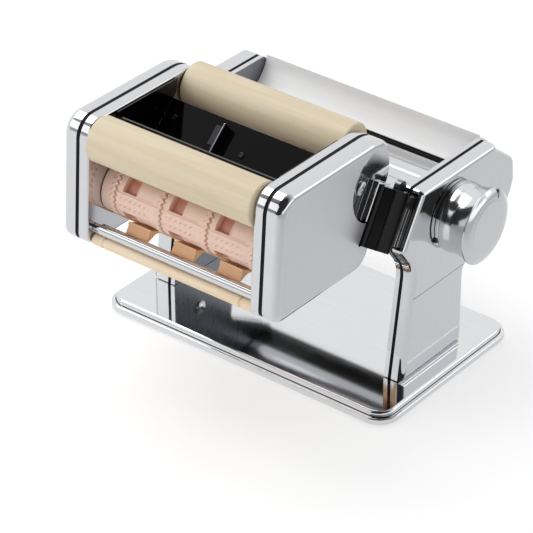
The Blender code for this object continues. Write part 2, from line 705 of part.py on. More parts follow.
def make_collar(start, end, chrome, parent):
    """The dial ring on the right cover: the knob's pin runs in its track, with a hole at each setting."""
    collar = closed_ring(
        "dial_collar",
        (
            (start, COLLAR_BORE), (start, COLLAR_RADIUS), (end - COLLAR_CHAMFER, COLLAR_RADIUS),
            (end, COLLAR_RADIUS - COLLAR_CHAMFER), (end, COLLAR_BORE),
        ),
        ROUND_SIDES, KNOB_AXIS, chrome, parent,
    )
    past = start - OVERRUN, end + OVERRUN
    apply_shape(collar, cutter("dial_track", slab(*past, dial_track()), parent, (0, *KNOB_AXIS)))
    for index in range(KNOB_POSITIONS):
        angle = KNOB_TURN * index / (KNOB_POSITIONS - 1)
        hole = (
            KNOB_AXIS[0] + DIAL_HOLE_CIRCLE * math.cos(angle),
            KNOB_AXIS[1] + DIAL_HOLE_CIRCLE * math.sin(angle),
        )
        bore(collar, past, hole, DIAL_HOLE_RADIUS, SMALL_SIDES // 2)


def dial_track():
    """Side view of the track that joins the dial's holes, a little longer than the knob's turn."""
    margin = 2 * DIAL_TRACK / DIAL_HOLE_CIRCLE
    steps = round(KNOB_TURN / TRACK_STEP)
    points = []
    for way, radius in ((1, DIAL_HOLE_CIRCLE + DIAL_TRACK), (-1, DIAL_HOLE_CIRCLE - DIAL_TRACK)):
        for step in range(steps + 1):
            share = step / steps if way > 0 else 1 - step / steps
            angle = (KNOB_TURN + 2 * margin) * share - margin
            points.append((radius * math.cos(angle), radius * math.sin(angle)))
    return points


def make_knob(start, head_start, parts, parent):
    """The knob pulls out against its spring, turns to another hole of the dial, and drops in."""
    face = start + KNOB_LENGTH
    profile = (
        (face - KNOB_FACE_WALL, KNOB_BORE), (start + KNOB_WEB, KNOB_BORE),
        (start + KNOB_WEB, ADJUSTER_RADIUS + FIT), (start, ADJUSTER_RADIUS + FIT),
        (start, KNOB_BACK_RADIUS), (start + KNOB_WAIST_AT, KNOB_WAIST_RADIUS),
        (start + (KNOB_WAIST_AT + KNOB_RIM_AT) / 2, (KNOB_WAIST_RADIUS + KNOB_RIM_RADIUS) / 2),
        (start + KNOB_RIM_AT, KNOB_RIM_RADIUS), (face - BASE_WALL, KNOB_FACE_RADIUS + BASE_WALL),
        (face, KNOB_FACE_RADIUS),
    )
    knob = turned("thickness_knob", profile, ROUND_SIDES, KNOB_AXIS, parts["chrome"], parent)
    pin_place = (0, KNOB_AXIS[0] + DIAL_HOLE_CIRCLE, KNOB_AXIS[1])
    pin_ends = start - FIT - PIN_ENGAGEMENT, start + KNOB_WEB / 2
    pin_rings = [circle(x, PIN_RADIUS, SMALL_SIDES // 2) for x in pin_ends]
    pin = cutter("knob_pin_shape", pin_rings, parent, pin_place)
    apply_shape(knob, pin, "UNION")
    make_spring(start + KNOB_WEB, head_start, parts["steel"], parent)


def make_spring(start, end, steel, parent):
    """The knob's return spring, one unbroken wire between the knob's web and the shaft's head."""
    low = start + SPRING_WIRE + FIT
    high = end - SPRING_WIRE - FIT
    curve = bpy.data.curves.new("knob_spring", "CURVE")
    curve.dimensions = "3D"
    curve.bevel_depth = SPRING_WIRE
    curve.bevel_resolution = 1
    curve.use_fill_caps = True
    count = SPRING_CURLS * SPRING_POINTS + 1
    spline = curve.splines.new("POLY")
    spline.points.add(count - 1)
    for index, point in enumerate(spline.points):
        angle = 2 * math.pi * index / SPRING_POINTS
        x = low + (high - low) * index / (count - 1)
        point.co = (x, SPRING_RADIUS * math.cos(angle), SPRING_RADIUS * math.sin(angle), 1)
    curve.materials.append(steel)
    place(bpy.data.objects.new("knob_spring", curve), parent, (0, *KNOB_AXIS))


def make_sheets(parts, parent):
    """The feed sheet behind the nip, the guard in front of it, scrapers and tie rods."""
    half = INNER_FACE - SHEET_END_GAP
    feed = [column_place(*share) for share in FEED_SHARES]
    bent_sheet("rear_feed_sheet", feed, SHEET, half, parts["steel"], parent)
    guard = [column_place(*share) for share in GUARD_SHARES]
    bent_sheet("front_guard", guard, -SHEET, half, parts["steel"], parent)
    rear_guard = [column_place(*share) for share in REAR_GUARD_SHARES]
    bent_sheet("rear_guard", rear_guard, -SHEET, half, parts["steel"], parent)
    make_feed_lip(feed[-1], half, parts["black"], parent)
    for word, centre, way in (("front", FRONT_ROLLER, -1), ("rear", REAR_ROLLER, 1)):
        make_scraper(f"{word}_scraper", centre, way, half, parts["black"], parent)
    neck = INNER_FACE + PLATE_THICKNESS
    for word, shares in TIE_SHARES.items():
        profile = (
            (-neck, TIE_NECK_RADIUS), (-half, TIE_NECK_RADIUS), (-half, TIE_RADIUS),
            (half, TIE_RADIUS), (half, TIE_NECK_RADIUS), (neck, TIE_NECK_RADIUS),
        )
        turned(f"tie_rod_{word}", profile, SMALL_SIDES, column_place(*shares), parts["steel"], parent)


def make_feed_lip(edge, half, material, parent):
    """A blade under the feed sheet's lower edge, which closes the gap down to the rear roller."""
    front, rear = edge[0], edge[0] + LIP_THICKNESS
    top = edge[1] - SHEET - FIT
    clear = ROLLER_RADIUS + RUNNING_GAP
    corners = [(rear, top), (front, top)]
    for y in (front, rear):
        corners.append((y, REAR_ROLLER[1] + math.sqrt(clear ** 2 - (REAR_ROLLER[0] - y) ** 2)))
    loft("feed_lip", slab(-half, half, corners), material, parent)


def make_scraper(name, centre, way, half, material, parent):
    """A blade that keeps dough off the underside of one roller."""
    near = ROLLER_RADIUS + RUNNING_GAP
    out = way * math.cos(SCRAPER_ANGLE), -math.sin(SCRAPER_ANGLE)
    across = -out[1], out[0]
    corners = []
    for radial, sideways in ((0, 0), (SCRAPER_LENGTH, 0), (SCRAPER_LENGTH, 1), (0, 1)):
        reach = near + radial
        shift = sideways * SCRAPER_THICKNESS
        y = centre[0] + out[0] * reach + across[0] * shift
        corners.append((y, centre[1] + out[1] * reach + across[1] * shift))
    loft(name, slab(-half, half, corners), material, parent)


def make_rail(side, word, parts, parent):
    """The grooved rail on the front edge of one column head."""
    low = INNER_FACE + RAIL_INSET
    high = low + RAIL_WIDTH
    start, end = RAIL_START_SHARE * RAIL_LENGTH, RAIL_END_SHARE * RAIL_LENGTH
    ends = sorted((side * low, side * high))
    body = rail_box(start, end, FIT, RAIL_DEPTH)
    rail = loft(f"rail_{word}", slab(*ends, body), parts["black"], parent)
    middle = side * (low + high) / 2
    past = start - OVERRUN, end + OVERRUN
    slot = rail_box(*past, RAIL_DEPTH - RAIL_SLOT_DEPTH, RAIL_DEPTH + OVERRUN)
    slot_ends = middle - RAIL_SLOT_WIDTH / 2, middle + RAIL_SLOT_WIDTH / 2
    apply_shape(rail, cutter(f"{rail.name}_slot", slab(*slot_ends, slot), parent))
    step = RAIL_DEPTH / (RAIL_GROOVES + 1)
    for index in range(1, RAIL_GROOVES + 1):
        across = rail_box(*past, index * step - RAIL_GROOVE / 2, index * step + RAIL_GROOVE / 2)
        groove_ends = sorted((side * (high - RAIL_GROOVE), side * (high + OVERRUN)))
        apply_shape(rail, cutter(f"{rail.name}_groove_{index}", slab(*groove_ends, across), parent))


def make_hook(side, word, parts, parent):
    """The attachment's hook: a wedge in the cover's window, and a tongue in the rail's slot."""
    low = ATTACHMENT_FACE - DISC_FLOOR + FIT
    high = INNER_FACE + RAIL_INSET + RAIL_WIDTH
    start, end = HOOK_LOW_SHARE * RAIL_LENGTH, HOOK_TOP_SHARE * RAIL_LENGTH
    shoulder = ATTACHMENT_FACE + FIT
    wedge = (
        (low, HOOK_OUT), (high, HOOK_OUT), (high, HOOK_OUT + HOOK_NOSE),
        (shoulder, HOOK_OUT + HOOK_DEPTH), (low, HOOK_OUT + HOOK_DEPTH),
    )
    rings = [[(side * x, *on_rail(along, out)) for x, out in wedge] for along in (start, end)]
    hook = loft(f"hook_{word}", rings, parts["black"], parent)
    middle = side * (INNER_FACE + RAIL_INSET + RAIL_WIDTH / 2)
    half = RAIL_SLOT_WIDTH / 2 - 2 * FIT
    tongue = rail_box(start + OVERRUN, end - OVERRUN, HOOK_OUT - TONGUE_LENGTH, HOOK_OUT + OVERRUN)
    rings = slab(middle - half, middle + half, tongue)
    apply_shape(hook, cutter(f"{hook.name}_tongue", rings, parent), "UNION")


def make_attachment_side(side, word, parts, parent):
    """One end of the attachment: inner pan, cover with its cut-out, hook bracket and screw."""
    corners = attachment_corners()
    inner = pan(
        f"attachment_pan_{word}", -side, corners, -PAN_START - ATTACHMENT_PAN_DEPTH, ATTACHMENT_PAN_DEPTH,
        ATTACHMENT_WALL, ATTACHMENT_WALL, parts["steel"], parent,
    )
    ends = side * (PAN_START - OVERRUN), side * (PAN_START + ATTACHMENT_WALL + OVERRUN)
    for centre, radius in (
        (FRONT_WOOD, PIN_JOURNAL_RADIUS), (REAR_WOOD, PIN_JOURNAL_RADIUS), (DOWEL, DOWEL_JOURNAL_RADIUS),
        (CHROME_ROD, CHROME_ROD[2] / 2), (REAR_TIE, REAR_TIE[2] / 2),
        (FRONT_MOULD, MOULD_JOURNAL_RADIUS), (REAR_MOULD, MOULD_JOURNAL_RADIUS),
    ):
        bore(inner, ends, centre, radius + FIT)
    cover = pan(
        f"attachment_cover_{word}", side, corners, ATTACHMENT_COVER_START, ATTACHMENT_COVER_DEPTH,
        ATTACHMENT_WALL, ATTACHMENT_EDGE, parts["chrome"], parent,
    )
    disc = on_rail(DISC_ALONG, DISC_OUT)
    face_ends = side * (ATTACHMENT_FACE - ATTACHMENT_EDGE - OVERRUN), side * (ATTACHMENT_FACE + OVERRUN)
    bore(cover, face_ends, disc, DISC_RADIUS, ROUND_SIDES)
    window = rail_box(
        HOOK_LOW_SHARE * RAIL_LENGTH - RUNNING_GAP, HOOK_TOP_SHARE * RAIL_LENGTH + RUNNING_GAP,
        0, HOOK_WINDOW_OUT,
    )
    window_ends = sorted(face_ends)
    apply_shape(cover, cutter(f"{cover.name}_window", slab(*window_ends, window), parent))
    make_bracket(side, word, disc, parts, parent)
    return cover


def make_bracket(side, word, disc, parts, parent):
    """The round plate at the bottom of the cover's recess, with a flange that holds the hook."""
    face = ATTACHMENT_FACE - DISC_FLOOR
    ends = sorted((side * face, side * (face - ATTACHMENT_WALL)))
    rings = [circle(end, DISC_RADIUS - FIT, ROUND_SIDES) for end in ends]
    plate = loft(f"hook_bracket_{word}", rings, parts["chrome"], parent, (0, *disc))
    past = ends[0] - OVERRUN, ends[1] + OVERRUN
    inside = outline(attachment_corners(), ATTACHMENT_WALL + FIT)
    apply_shape(plate, cutter(f"{plate.name}_edge", slab(*past, inside), parent), "INTERSECT")
    low = DISC_ALONG - math.sqrt(DISC_RADIUS ** 2 - (DISC_OUT - HOOK_WINDOW_OUT) ** 2) + BRACKET_FLANGE
    top = HOOK_TOP_SHARE * RAIL_LENGTH + RUNNING_GAP
    near, far = HOOK_WINDOW_OUT, HOOK_WINDOW_OUT + BRACKET_FLANGE
    flange = [on_rail(low, near), on_rail(low, far), on_rail(top + BRACKET_FLANGE, far)]
    flange += [on_rail(top + BRACKET_FLANGE, HOOK_OUT), on_rail(top, HOOK_OUT), on_rail(top, near)]
    rise = sorted((side * (face - ATTACHMENT_WALL / 2), side * ATTACHMENT_FACE))
    apply_shape(plate, cutter(f"{plate.name}_flange", slab(*rise, flange), parent), "UNION")
    screw = on_rail(SCREW_ALONG, SCREW_OUT)
    bore(plate, past, screw, SCREW_SHANK_RADIUS + FIT)
    head = face + FIT
    profile = (
        (side * (face - SCREW_SHANK), SCREW_SHANK_RADIUS), (side * head, SCREW_SHANK_RADIUS),
        (side * head, SCREW_HEAD_RADIUS), (side * (head + SCREW_HEAD / 2), SCREW_HEAD_RADIUS),
        (side * (head + SCREW_HEAD), SCREW_HEAD_RADIUS / 2),
    )
    turned(f"bracket_screw_{word}", profile, SMALL_SIDES, screw, parts["steel"], parent)


def make_free_roller(name, shape, journal, material, parent):
    """A roller that turns freely between the attachment's pans."""
    half = PAN_START - WOOD_END_GAP
    reach = PAN_START + JOURNAL_REACH
    y, z, radius = shape
    roll = WOOD_END_ROLL if radius > DOWEL[2] else DOWEL_END_ROLL
    profile = (
        (-reach, journal), (-half, journal), (-half, radius - roll), (-half + roll, radius),
        (half - roll, radius), (half, radius - roll), (half, journal), (reach, journal),
    )
    sides = ROUND_SIDES if radius > DOWEL[2] else SMALL_SIDES
    return turned(name, profile, sides, (y, z), material, parent)


def make_rods(parts, parent):
    make_free_roller("front_wood_roller", FRONT_WOOD, PIN_JOURNAL_RADIUS, parts["wood"], parent)
    make_free_roller("rear_wood_roller", REAR_WOOD, PIN_JOURNAL_RADIUS, parts["wood"], parent)
    dowel = make_free_roller("lower_wood_dowel", DOWEL, DOWEL_JOURNAL_RADIUS, parts["wood"], parent)
    for side in (-1, 1):
        start = side * (PAN_START - DOWEL_NECK_AT)
        neck_ends = sorted((start, start - side * DOWEL_NECK_WIDTH))
        inner, outer = DOWEL[2] - DOWEL_NECK, DOWEL[2] + OVERRUN
        profile = (
            (neck_ends[0], inner), (neck_ends[0], outer), (neck_ends[1], outer), (neck_ends[1], inner),
        )
        ring = closed_ring(
            f"dowel_neck_{side}", profile, SMALL_SIDES, DOWEL[:2], parts["wood"], parent,
        )
        ring.hide_render = True
        ring.display_type = "WIRE"
        apply_shape(dowel, ring)
    half = PAN_START - WOOD_END_GAP
    reach = PAN_START + JOURNAL_REACH
    for name, (y, z, radius), collar in (
        ("chrome_rod", CHROME_ROD, ROD_COLLAR), ("rear_tie_bar", REAR_TIE, 0),
    ):
        profile = [(-reach, radius / 2), (-half, radius / 2)]
        if collar:
            profile += [(-half, radius - collar), (-half + ROD_COLLAR_WIDTH, radius - collar)]
            profile += [(-half + ROD_COLLAR_WIDTH, radius)]
        else:
            profile += [(-half, radius)]
        profile += [(half, radius), (half, radius / 2), (reach, radius / 2)]
        turned(name, profile, SMALL_SIDES, (y, z), parts["chrome"], parent)


def mould_levels():
    land = MOULD_RIDGE_RADIUS - MOULD_LAND
    return {"ridge": MOULD_RIDGE_RADIUS, "land": land, "pocket": land - MOULD_POCKET}


def make_mould(name, centre, facing, parts, parent):
    """A mould roller: ridged rings along it, and rows of pockets between them."""
    levels = mould_levels()
    half = PAN_START - WOOD_END_GAP
    moulded = MOULD_CELLS_LONG * MOULD_CELL_PITCH / 2
    lines = []
    for cell in range(MOULD_CELLS_LONG):
        for share, level in CELL_LONG_SHARES:
            lines.append((-moulded + (cell + share) * MOULD_CELL_PITCH, level))
    rounds = []
    for cell in range(MOULD_CELLS_ROUND):
        for share, level in CELL_ROUND_SHARES:
            rounds.append(((cell + share) * 2 * math.pi / MOULD_CELLS_ROUND, level))
    sides = len(rounds)

    def ring(x, radii):
        points = []
        for (angle, _), radius in zip(rounds, radii):
            points.append((x, facing * radius * math.cos(angle), radius * math.sin(angle)))
        return points

    gear_start = PAN_START + ATTACHMENT_WALL + BUSH_FLANGE
    left_end = gear_start + MOULD_GEAR_WIDTH + FIT
    end_wall = CELL_LONG_SHARES[0][0] * MOULD_CELL_PITCH
    rings = [ring(-left_end, [MOULD_JOURNAL_RADIUS] * sides), ring(-half, [MOULD_JOURNAL_RADIUS] * sides)]
    rings += [ring(-half, [levels["land"]] * sides), ring(-moulded - end_wall, [levels["land"]] * sides)]
    rings += [ring(-moulded - end_wall / 2, [levels["ridge"]] * sides)]
    for x, level in lines:
        radii = []
        for _, around in rounds:
            found = "land" if level == "pocket" and around == "land" else level
            radii.append(levels[found])
        rings.append(ring(x, radii))
    rings += [ring(moulded + end_wall / 2, [levels["ridge"]] * sides)]
    rings += [ring(moulded + end_wall, [levels["land"]] * sides), ring(half, [levels["land"]] * sides)]
    rings += [ring(half, [MOULD_JOURNAL_RADIUS] * sides)]
    rings += [ring(PAN_START + JOURNAL_REACH, [MOULD_JOURNAL_RADIUS] * sides)]
    loft(name, rings, parts["mould"], parent, (0, *centre))


def make_moulds(parts, parent):
    make_mould("front_mould_roller", FRONT_MOULD, 1, parts, parent)
    make_mould("rear_mould_roller", REAR_MOULD, -1, parts, parent)
    start = PAN_START + ATTACHMENT_WALL + BUSH_FLANGE
    ends = -start, -start - MOULD_GEAR_WIDTH
    half_tooth = math.pi / MOULD_GEAR_TEETH
    for word, centre, phase in (("front", FRONT_MOULD, 0), ("rear", REAR_MOULD, half_tooth)):
        gear(
            f"{word}_mould_gear", ends, centre, 2 * MOULD_REACH, MOULD_TOOTH_OVERLAP, MOULD_GEAR_TEETH,
            phase, MOULD_JOURNAL_RADIUS + FIT, parts["bronze"], parent,
        )
    end = ATTACHMENT_FACE + SOCKET_SHOWING
    first = start + MOULD_GEAR_WIDTH + 2 * FIT
    socket = turned(
        "attachment_socket", ((-first, SOCKET_RADIUS), (-end, SOCKET_RADIUS)), ROUND_SIDES, FRONT_MOULD,
        parts["steel"], parent,
    )
    hexagon = [circle(x, SOCKET_HEX, HEX_SIDES) for x in (-end - OVERRUN, -first + OVERRUN)]
    apply_shape(socket, cutter("attachment_socket_hex", hexagon, parent, (0, *FRONT_MOULD)))


def make_hopper(parts, parent):
    """The filling hopper over the nip: two sheets, two cheeks, a divider and its screws."""
    half = PAN_START - WOOD_END_GAP - CHEEK - FIT
    bent_sheet("hopper_front_sheet", HOPPER_FRONT, SHEET, half, parts["black"], parent)
    bent_sheet("hopper_rear_sheet", HOPPER_REAR, -SHEET, half, parts["black"], parent)
    corners = HOPPER_FRONT + HOPPER_REAR + CHEEK_TOP
    for side, word in ((1, "right"), (-1, "left")):
        ends = sorted((side * (half + FIT), side * (half + FIT + CHEEK)))
        loft(f"hopper_cheek_{word}", slab(*ends, corners), parts["black"], parent)
    slope = unit((HOPPER_REAR[2][0] - HOPPER_REAR[1][0], HOPPER_REAR[2][1] - HOPPER_REAR[1][1]))
    above = -slope[1], slope[0]

    def on_slope(along, out):
        base = HOPPER_REAR[1]
        return base[0] + slope[0] * along + above[0] * out, base[1] + slope[1] * along + above[1] * out

    fin = [on_slope(CHEEK, FIT), on_slope(DIVIDER_LENGTH, FIT)]
    fin += [on_slope(DIVIDER_LENGTH, DIVIDER_HEIGHT), on_slope(CHEEK, DIVIDER_HEIGHT)]
    rings = slab(DIVIDER_AT - SHEET / 2, DIVIDER_AT + SHEET / 2, fin)
    loft("hopper_divider", rings, parts["chrome"], parent)


def middle(first, second):
    return (first[0] + second[0]) / 2, (first[1] + second[1]) / 2


def make_comb(name, centre, facing, parts, parent):
    """Three curved fingers on a bar, which lift the filled dough off one mould roller and guide it down."""
    near = MOULD_RIDGE_RADIUS + COMB_GAP
    inner, outer = [], []
    for step in range(COMB_STEPS + 1):
        angle = COMB_START + (COMB_END - COMB_START) * step / COMB_STEPS
        way = facing * math.cos(angle), math.sin(angle)
        inner.append((centre[0] + way[0] * near, centre[1] + way[1] * near))
        reach = near + COMB_THICKNESS
        outer.append((centre[0] + way[0] * reach, centre[1] + way[1] * reach))
    band = inner + outer[::-1]
    edge = outer[0][0] + facing * COMB_TONGUE_LEAN, outer[0][1] - COMB_TONGUE
    tongue = [
        middle(inner[0], outer[1]), edge, (edge[0] + facing * COMB_THICKNESS, edge[1]),
        middle(inner[1], outer[2]),
    ]
    tail = outer[-1]
    half = PAN_START - WOOD_END_GAP
    bar = [
        (tail[0] - facing * COMB_BAR, tail[1] - COMB_BAR_DROP), (tail[0], tail[1] - COMB_BAR_DROP),
        (tail[0], tail[1]), (tail[0] - facing * COMB_BAR, tail[1]),
    ]
    comb = loft(name, slab(-half, half, bar), parts["amber"], parent)
    for cell in range(MOULD_CELLS_LONG):
        centre_x = (cell - (MOULD_CELLS_LONG - 1) / 2) * MOULD_CELL_PITCH
        ends = centre_x - COMB_FINGER / 2, centre_x + COMB_FINGER / 2
        for word, shape in (("finger", band), ("tongue", tongue)):
            apply_shape(comb, cutter(f"{name}_{word}_{cell}", slab(*ends, shape), parent), "UNION")


def clear_scene():
    for obj in list(bpy.data.objects):
        bpy.data.objects.remove(obj, do_unlink=True)


def main():
    clear_scene()
    parts = {
        "chrome": new_material("polished_chrome", (214, 216, 219), 0.12, 1.0),
        "steel": new_material("polished_steel", (196, 198, 202), 0.22, 1.0),
        "bronze": new_material("sintered_bronze", (164, 134, 92), 0.45, 1.0),
        "black": new_material("black_plastic", (22, 22, 24), 0.35, 0.0),
        "rubber": new_material("black_rubber", (30, 30, 31), 0.75, 0.0),
        "wood": new_material("pale_beech", (226, 205, 166), 0.55, 0.0),
        "mould": new_material("peach_plastic", (238, 196, 176), 0.45, 0.0),
        "amber": new_material("amber_plastic", (212, 150, 88), 0.40, 0.0),
    }
    root = place(bpy.data.objects.new("pasta_maker", None), None, root_place())
    make_base(parts["steel"], parts["rubber"], root)
    make_columns(parts, root)
    make_rollers(parts, root)
    make_adjuster(parts, root)
    make_sheets(parts, root)
    for side, word in ((1, "right"), (-1, "left")):
        make_rail(side, word, parts, root)
        make_hook(side, word, parts, root)
        cover = make_attachment_side(side, word, parts, root)
        if side < 0:
            ends = -ATTACHMENT_FACE - OVERRUN, -ATTACHMENT_FACE + ATTACHMENT_WALL + OVERRUN
            bore(cover, ends, FRONT_MOULD, SOCKET_RADIUS + RUNNING_GAP)
    make_rods(parts, root)
    make_moulds(parts, root)
    make_hopper(parts, root)
    make_comb("front_comb", FRONT_MOULD, 1, parts, root)
    make_comb("rear_comb", REAR_MOULD, -1, parts, root)


main()
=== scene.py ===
"""Looks of a hand-cranked pasta maker with a filled-pasta attachment hung on its front rails.

Every length is in millimetres from the middle of the base pan's top face, X along the rollers
towards the thickness knob, -Y the front and Z up. A mesh is turned to the frame's metres when it
is finished.
"""

import logging
import math
from collections.abc import Sequence
from dataclasses import dataclass, field
from enum import Enum

import bmesh
import bpy
from mathutils import Matrix, Vector


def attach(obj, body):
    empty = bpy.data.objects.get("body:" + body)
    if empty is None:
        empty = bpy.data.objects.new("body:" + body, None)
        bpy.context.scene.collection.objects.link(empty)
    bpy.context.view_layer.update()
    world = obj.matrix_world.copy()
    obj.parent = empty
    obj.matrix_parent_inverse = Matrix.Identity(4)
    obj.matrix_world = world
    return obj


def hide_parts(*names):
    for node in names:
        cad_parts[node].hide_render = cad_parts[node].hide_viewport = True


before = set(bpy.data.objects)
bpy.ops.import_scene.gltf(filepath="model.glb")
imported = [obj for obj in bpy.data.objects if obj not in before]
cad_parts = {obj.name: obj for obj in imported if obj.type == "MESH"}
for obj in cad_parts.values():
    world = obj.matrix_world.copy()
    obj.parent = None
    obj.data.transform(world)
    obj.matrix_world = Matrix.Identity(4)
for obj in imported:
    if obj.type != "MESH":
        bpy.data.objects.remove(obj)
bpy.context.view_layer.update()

Point = tuple[float, float, float]
Flat = tuple[float, float]
Ring = list[Point]
Piece = bpy.types.Object
Tree = bpy.types.NodeTree
Socket = bpy.types.NodeSocket

LOG = logging.getLogger("pasta_maker")
MM = 0.001
ROOT = Vector((-4.7, 32.763, 8.3))
FIT = 0.3
RUNNING_GAP = 0.6
TOUCHING = 0.04
OVERRUN = 2.0
LEAST_RADIUS = 0.05
BEND_SHARE = 0.48
FULL_TURN = 2 * math.pi
ROUND_SIDES = 96
SMALL_SIDES = 40
BOLT_SIDES = 24
PIN_SIDES = 16
ARC_STEP = math.radians(6)
EDGE_STEPS = 6
SHARP_ANGLE = math.radians(32)
BEVEL_ANGLE = math.radians(40)
BORE_TURN = math.radians(1.7)
FLAT_FACING = 0.999
COAT_ROUGHNESS = 0.08
SCATTER = (0.004, 0.002, 0.0015)
HEXAGON = 6
SOCKET_EDGE = ((0.8, 0.0), (0.2, 0.3), (0.0, 0.9))
# How far in from a split's edges the painted-shade strip lies.
SHADE_STRIP_FACE = 0.35
SHADE_STRIP_BACK = 1.1
RAIL_TOP_CORNER = 9
RAIL_FOOT_CORNER = 10
# The mix node's numbered inputs, for plain values and for colours.
VALUE_MIX = (2, 3)
COLOUR_MIX = (6, 7)
POCKET_SHADE_LAYER = "pocket_shade"
GROOVE_SHADE_LAYER = "groove"


class Side(Enum):
    """The two ends of the machine, as signs along X."""

    LEFT = -1
    RIGHT = 1

    @property
    def word(self) -> str:
        """The word that ends a node's name on this side."""
        return self.name.lower()


class Body(Enum):
    """The bodies that pieces ride on."""

    FRAME = "frame"
    CAM = "cam_shaft"
    KNOB = "knob"
    FRONT_ROLLER = "front_roller"
    REAR_ROLLER = "rear_roller"
    ATTACHMENT = "attachment"
    FRONT_FEED = "front_feed_roller"
    REAR_FEED = "rear_feed_roller"
    DOWEL = "lower_dowel"
    FRONT_MOULD = "front_mould"
    REAR_MOULD = "rear_mould"


class Slot(Enum):
    """The record's material slots."""

    CHROME = "polished_chrome"
    STEEL = "polished_steel"
    BRONZE = "sintered_bronze"
    BLACK = "black_plastic"
    RUBBER = "black_rubber"
    BEECH = "pale_beech"
    PEACH = "peach_plastic"
    AMBER = "amber_plastic"


def linear(code: str) -> tuple[float, float, float, float]:
    """Turns an sRGB hex colour into a linear one.

    Args:
        code: six hex digits, such as "#C8C9CB".

    Returns:
        Linear red, green and blue, and an alpha of one.
    """
    channels = [int(code[start:start + 2], 16) / 255 for start in (1, 3, 5)]
    # The numbers of this curve are the sRGB standard's own.
    red, green, blue = (
        value / 12.92 if value <= 0.04045 else ((value + 0.055) / 1.055) ** 2.4
        for value in channels)
    return red, green, blue, 1.0


def per_metre(size: float) -> float:
    """The pattern scale that repeats once in size millimetres."""
    return 1 / (size * MM)


def add_node(
        tree: Tree, kind: str, feeds: dict | None = None, **settings: object) -> bpy.types.Node:
    """Adds one node with its settings and links.

    Args:
        tree: the node tree it joins.
        kind: the node's Blender type.
        feeds: a plain value or another node's output for each input, by name or number.
        settings: the node's own options.

    Returns:
        The node.
    """
    node = tree.nodes.new(kind)
    for key, value in settings.items():
        setattr(node, key, value)
    for socket, value in (feeds or {}).items():
        if isinstance(value, Socket):
            tree.links.new(value, node.inputs[socket])
        else:
            node.inputs[socket].default_value = value
    return node


def noise(tree: Tree, place: Socket, feeds: dict[str, float]) -> Socket:
    """Noise whose grains are one unit of place long."""
    node = add_node(tree, "ShaderNodeTexNoise", {"Vector": place, "Scale": 1.0, **feeds})
    return node.outputs["Fac"]


def remap(tree: Tree, value: Socket, source: Flat, target: Flat = (0.0, 1.0)) -> Socket:
    """The value moved from one range to another, and held inside it."""
    feeds = {
        "Value": value, "From Min": source[0], "From Max": source[1], "To Min": target[0],
        "To Max": target[1]}
    return add_node(tree, "ShaderNodeMapRange", feeds).outputs["Result"]


def combine(tree: Tree, operation: str, *values: Socket | float) -> Socket:
    """The result of one maths node."""
    feeds = dict(enumerate(values))
    return add_node(tree, "ShaderNodeMath", feeds, operation=operation).outputs["Value"]


def choose(tree: Tree, share: Socket, low: Socket | float, high: Socket | float) -> Socket:
    """One value where share is nought, and another where it is one."""
    return add_node(
        tree, "ShaderNodeMix", {0: share, VALUE_MIX[0]: low, VALUE_MIX[1]: high},
        data_type="FLOAT").outputs[0]


def in_mirror(tree: Tree, path: bpy.types.Node) -> Socket:
    """One for what is seen in a shiny surface or through a clear one."""
    return combine(
        tree, "MAXIMUM", path.outputs["Is Glossy Ray"], path.outputs["Is Transmission Ray"])


@dataclass(frozen=True)
class Finish:
    """A surface with one fine pattern that drives its tint, gloss and bump.

    The pattern's grains and the relief are in millimetres.
    """

    name: str
    light: str
    dark: str
    metallic: float = 0.0
    roughness: float = 0.4
    swing: float = 0.05
    pattern: Point = (1.0, 1.0, 1.0)
    relief: float = 0.004
    strength: float = 0.2
    coat: float = 0.0
    subsurface: float = 0.0
    specular: float = 0.5

    def material(self) -> bpy.types.Material:
        """Builds the material.

        Returns:
            A node material whose pattern sits in the object's own millimetres.
        """
        material = bpy.data.materials.new(self.name)
        material.use_nodes = True
        tree = material.node_tree
        shader = tree.nodes["Principled BSDF"]
        place = add_node(tree, "ShaderNodeTexCoord").outputs["Object"]
        height = self.height(tree, place)
        tint = add_node(tree, "ShaderNodeValToRGB", {"Fac": self.tint_share(tree, place, height)})
        tint.color_ramp.elements[0].color = linear(self.dark)
        tint.color_ramp.elements[1].color = linear(self.light)
        tree.links.new(self.tint_over(tree, tint.outputs["Color"]), shader.inputs["Base Color"])
        limits = self.roughness - self.swing, self.roughness + self.swing
        tree.links.new(remap(tree, height, (0.0, 1.0), limits), shader.inputs["Roughness"])
        bump = add_node(
            tree, "ShaderNodeBump",
            {"Height": height, "Strength": self.strength, "Distance": self.relief * MM})
        tree.links.new(bump.outputs["Normal"], shader.inputs["Normal"])
        shader.inputs["Metallic"].default_value = self.metallic
        shader.inputs["Specular IOR Level"].default_value = self.specular
        shader.inputs["Coat Weight"].default_value = self.coat
        shader.inputs["Coat Roughness"].default_value = COAT_ROUGHNESS
        if self.subsurface:
            shader.inputs["Subsurface Weight"].default_value = self.subsurface
            shader.inputs["Subsurface Radius"].default_value = SCATTER
            shader.inputs["Subsurface Scale"].default_value = 1.0
        return material

    def stretched(self, tree: Tree, place: Socket, sizes: Point) -> Socket:
        """Coordinates in which a pattern's grains are sizes millimetres long on each axis."""
        scale = tuple(per_metre(size) for size in sizes)
        return add_node(
            tree, "ShaderNodeMapping", {"Vector": place, "Scale": scale}).outputs["Vector"]

    def height(self, tree: Tree, place: Socket) -> Socket:
        """The pattern itself: grains as long on each axis as the pattern field says."""
        return noise(
            tree, self.stretched(tree, place, self.pattern), {"Detail": 4.0, "Roughness": 0.6})

    def tint_share(self, tree: Tree, place: Socket, height: Socket) -> Socket:
        """How light the tint is at each place."""
        return height

    def tint_over(self, tree: Tree, tint: Socket) -> Socket:
        """What lies over the tint: nothing on a plain finish."""
        return tint


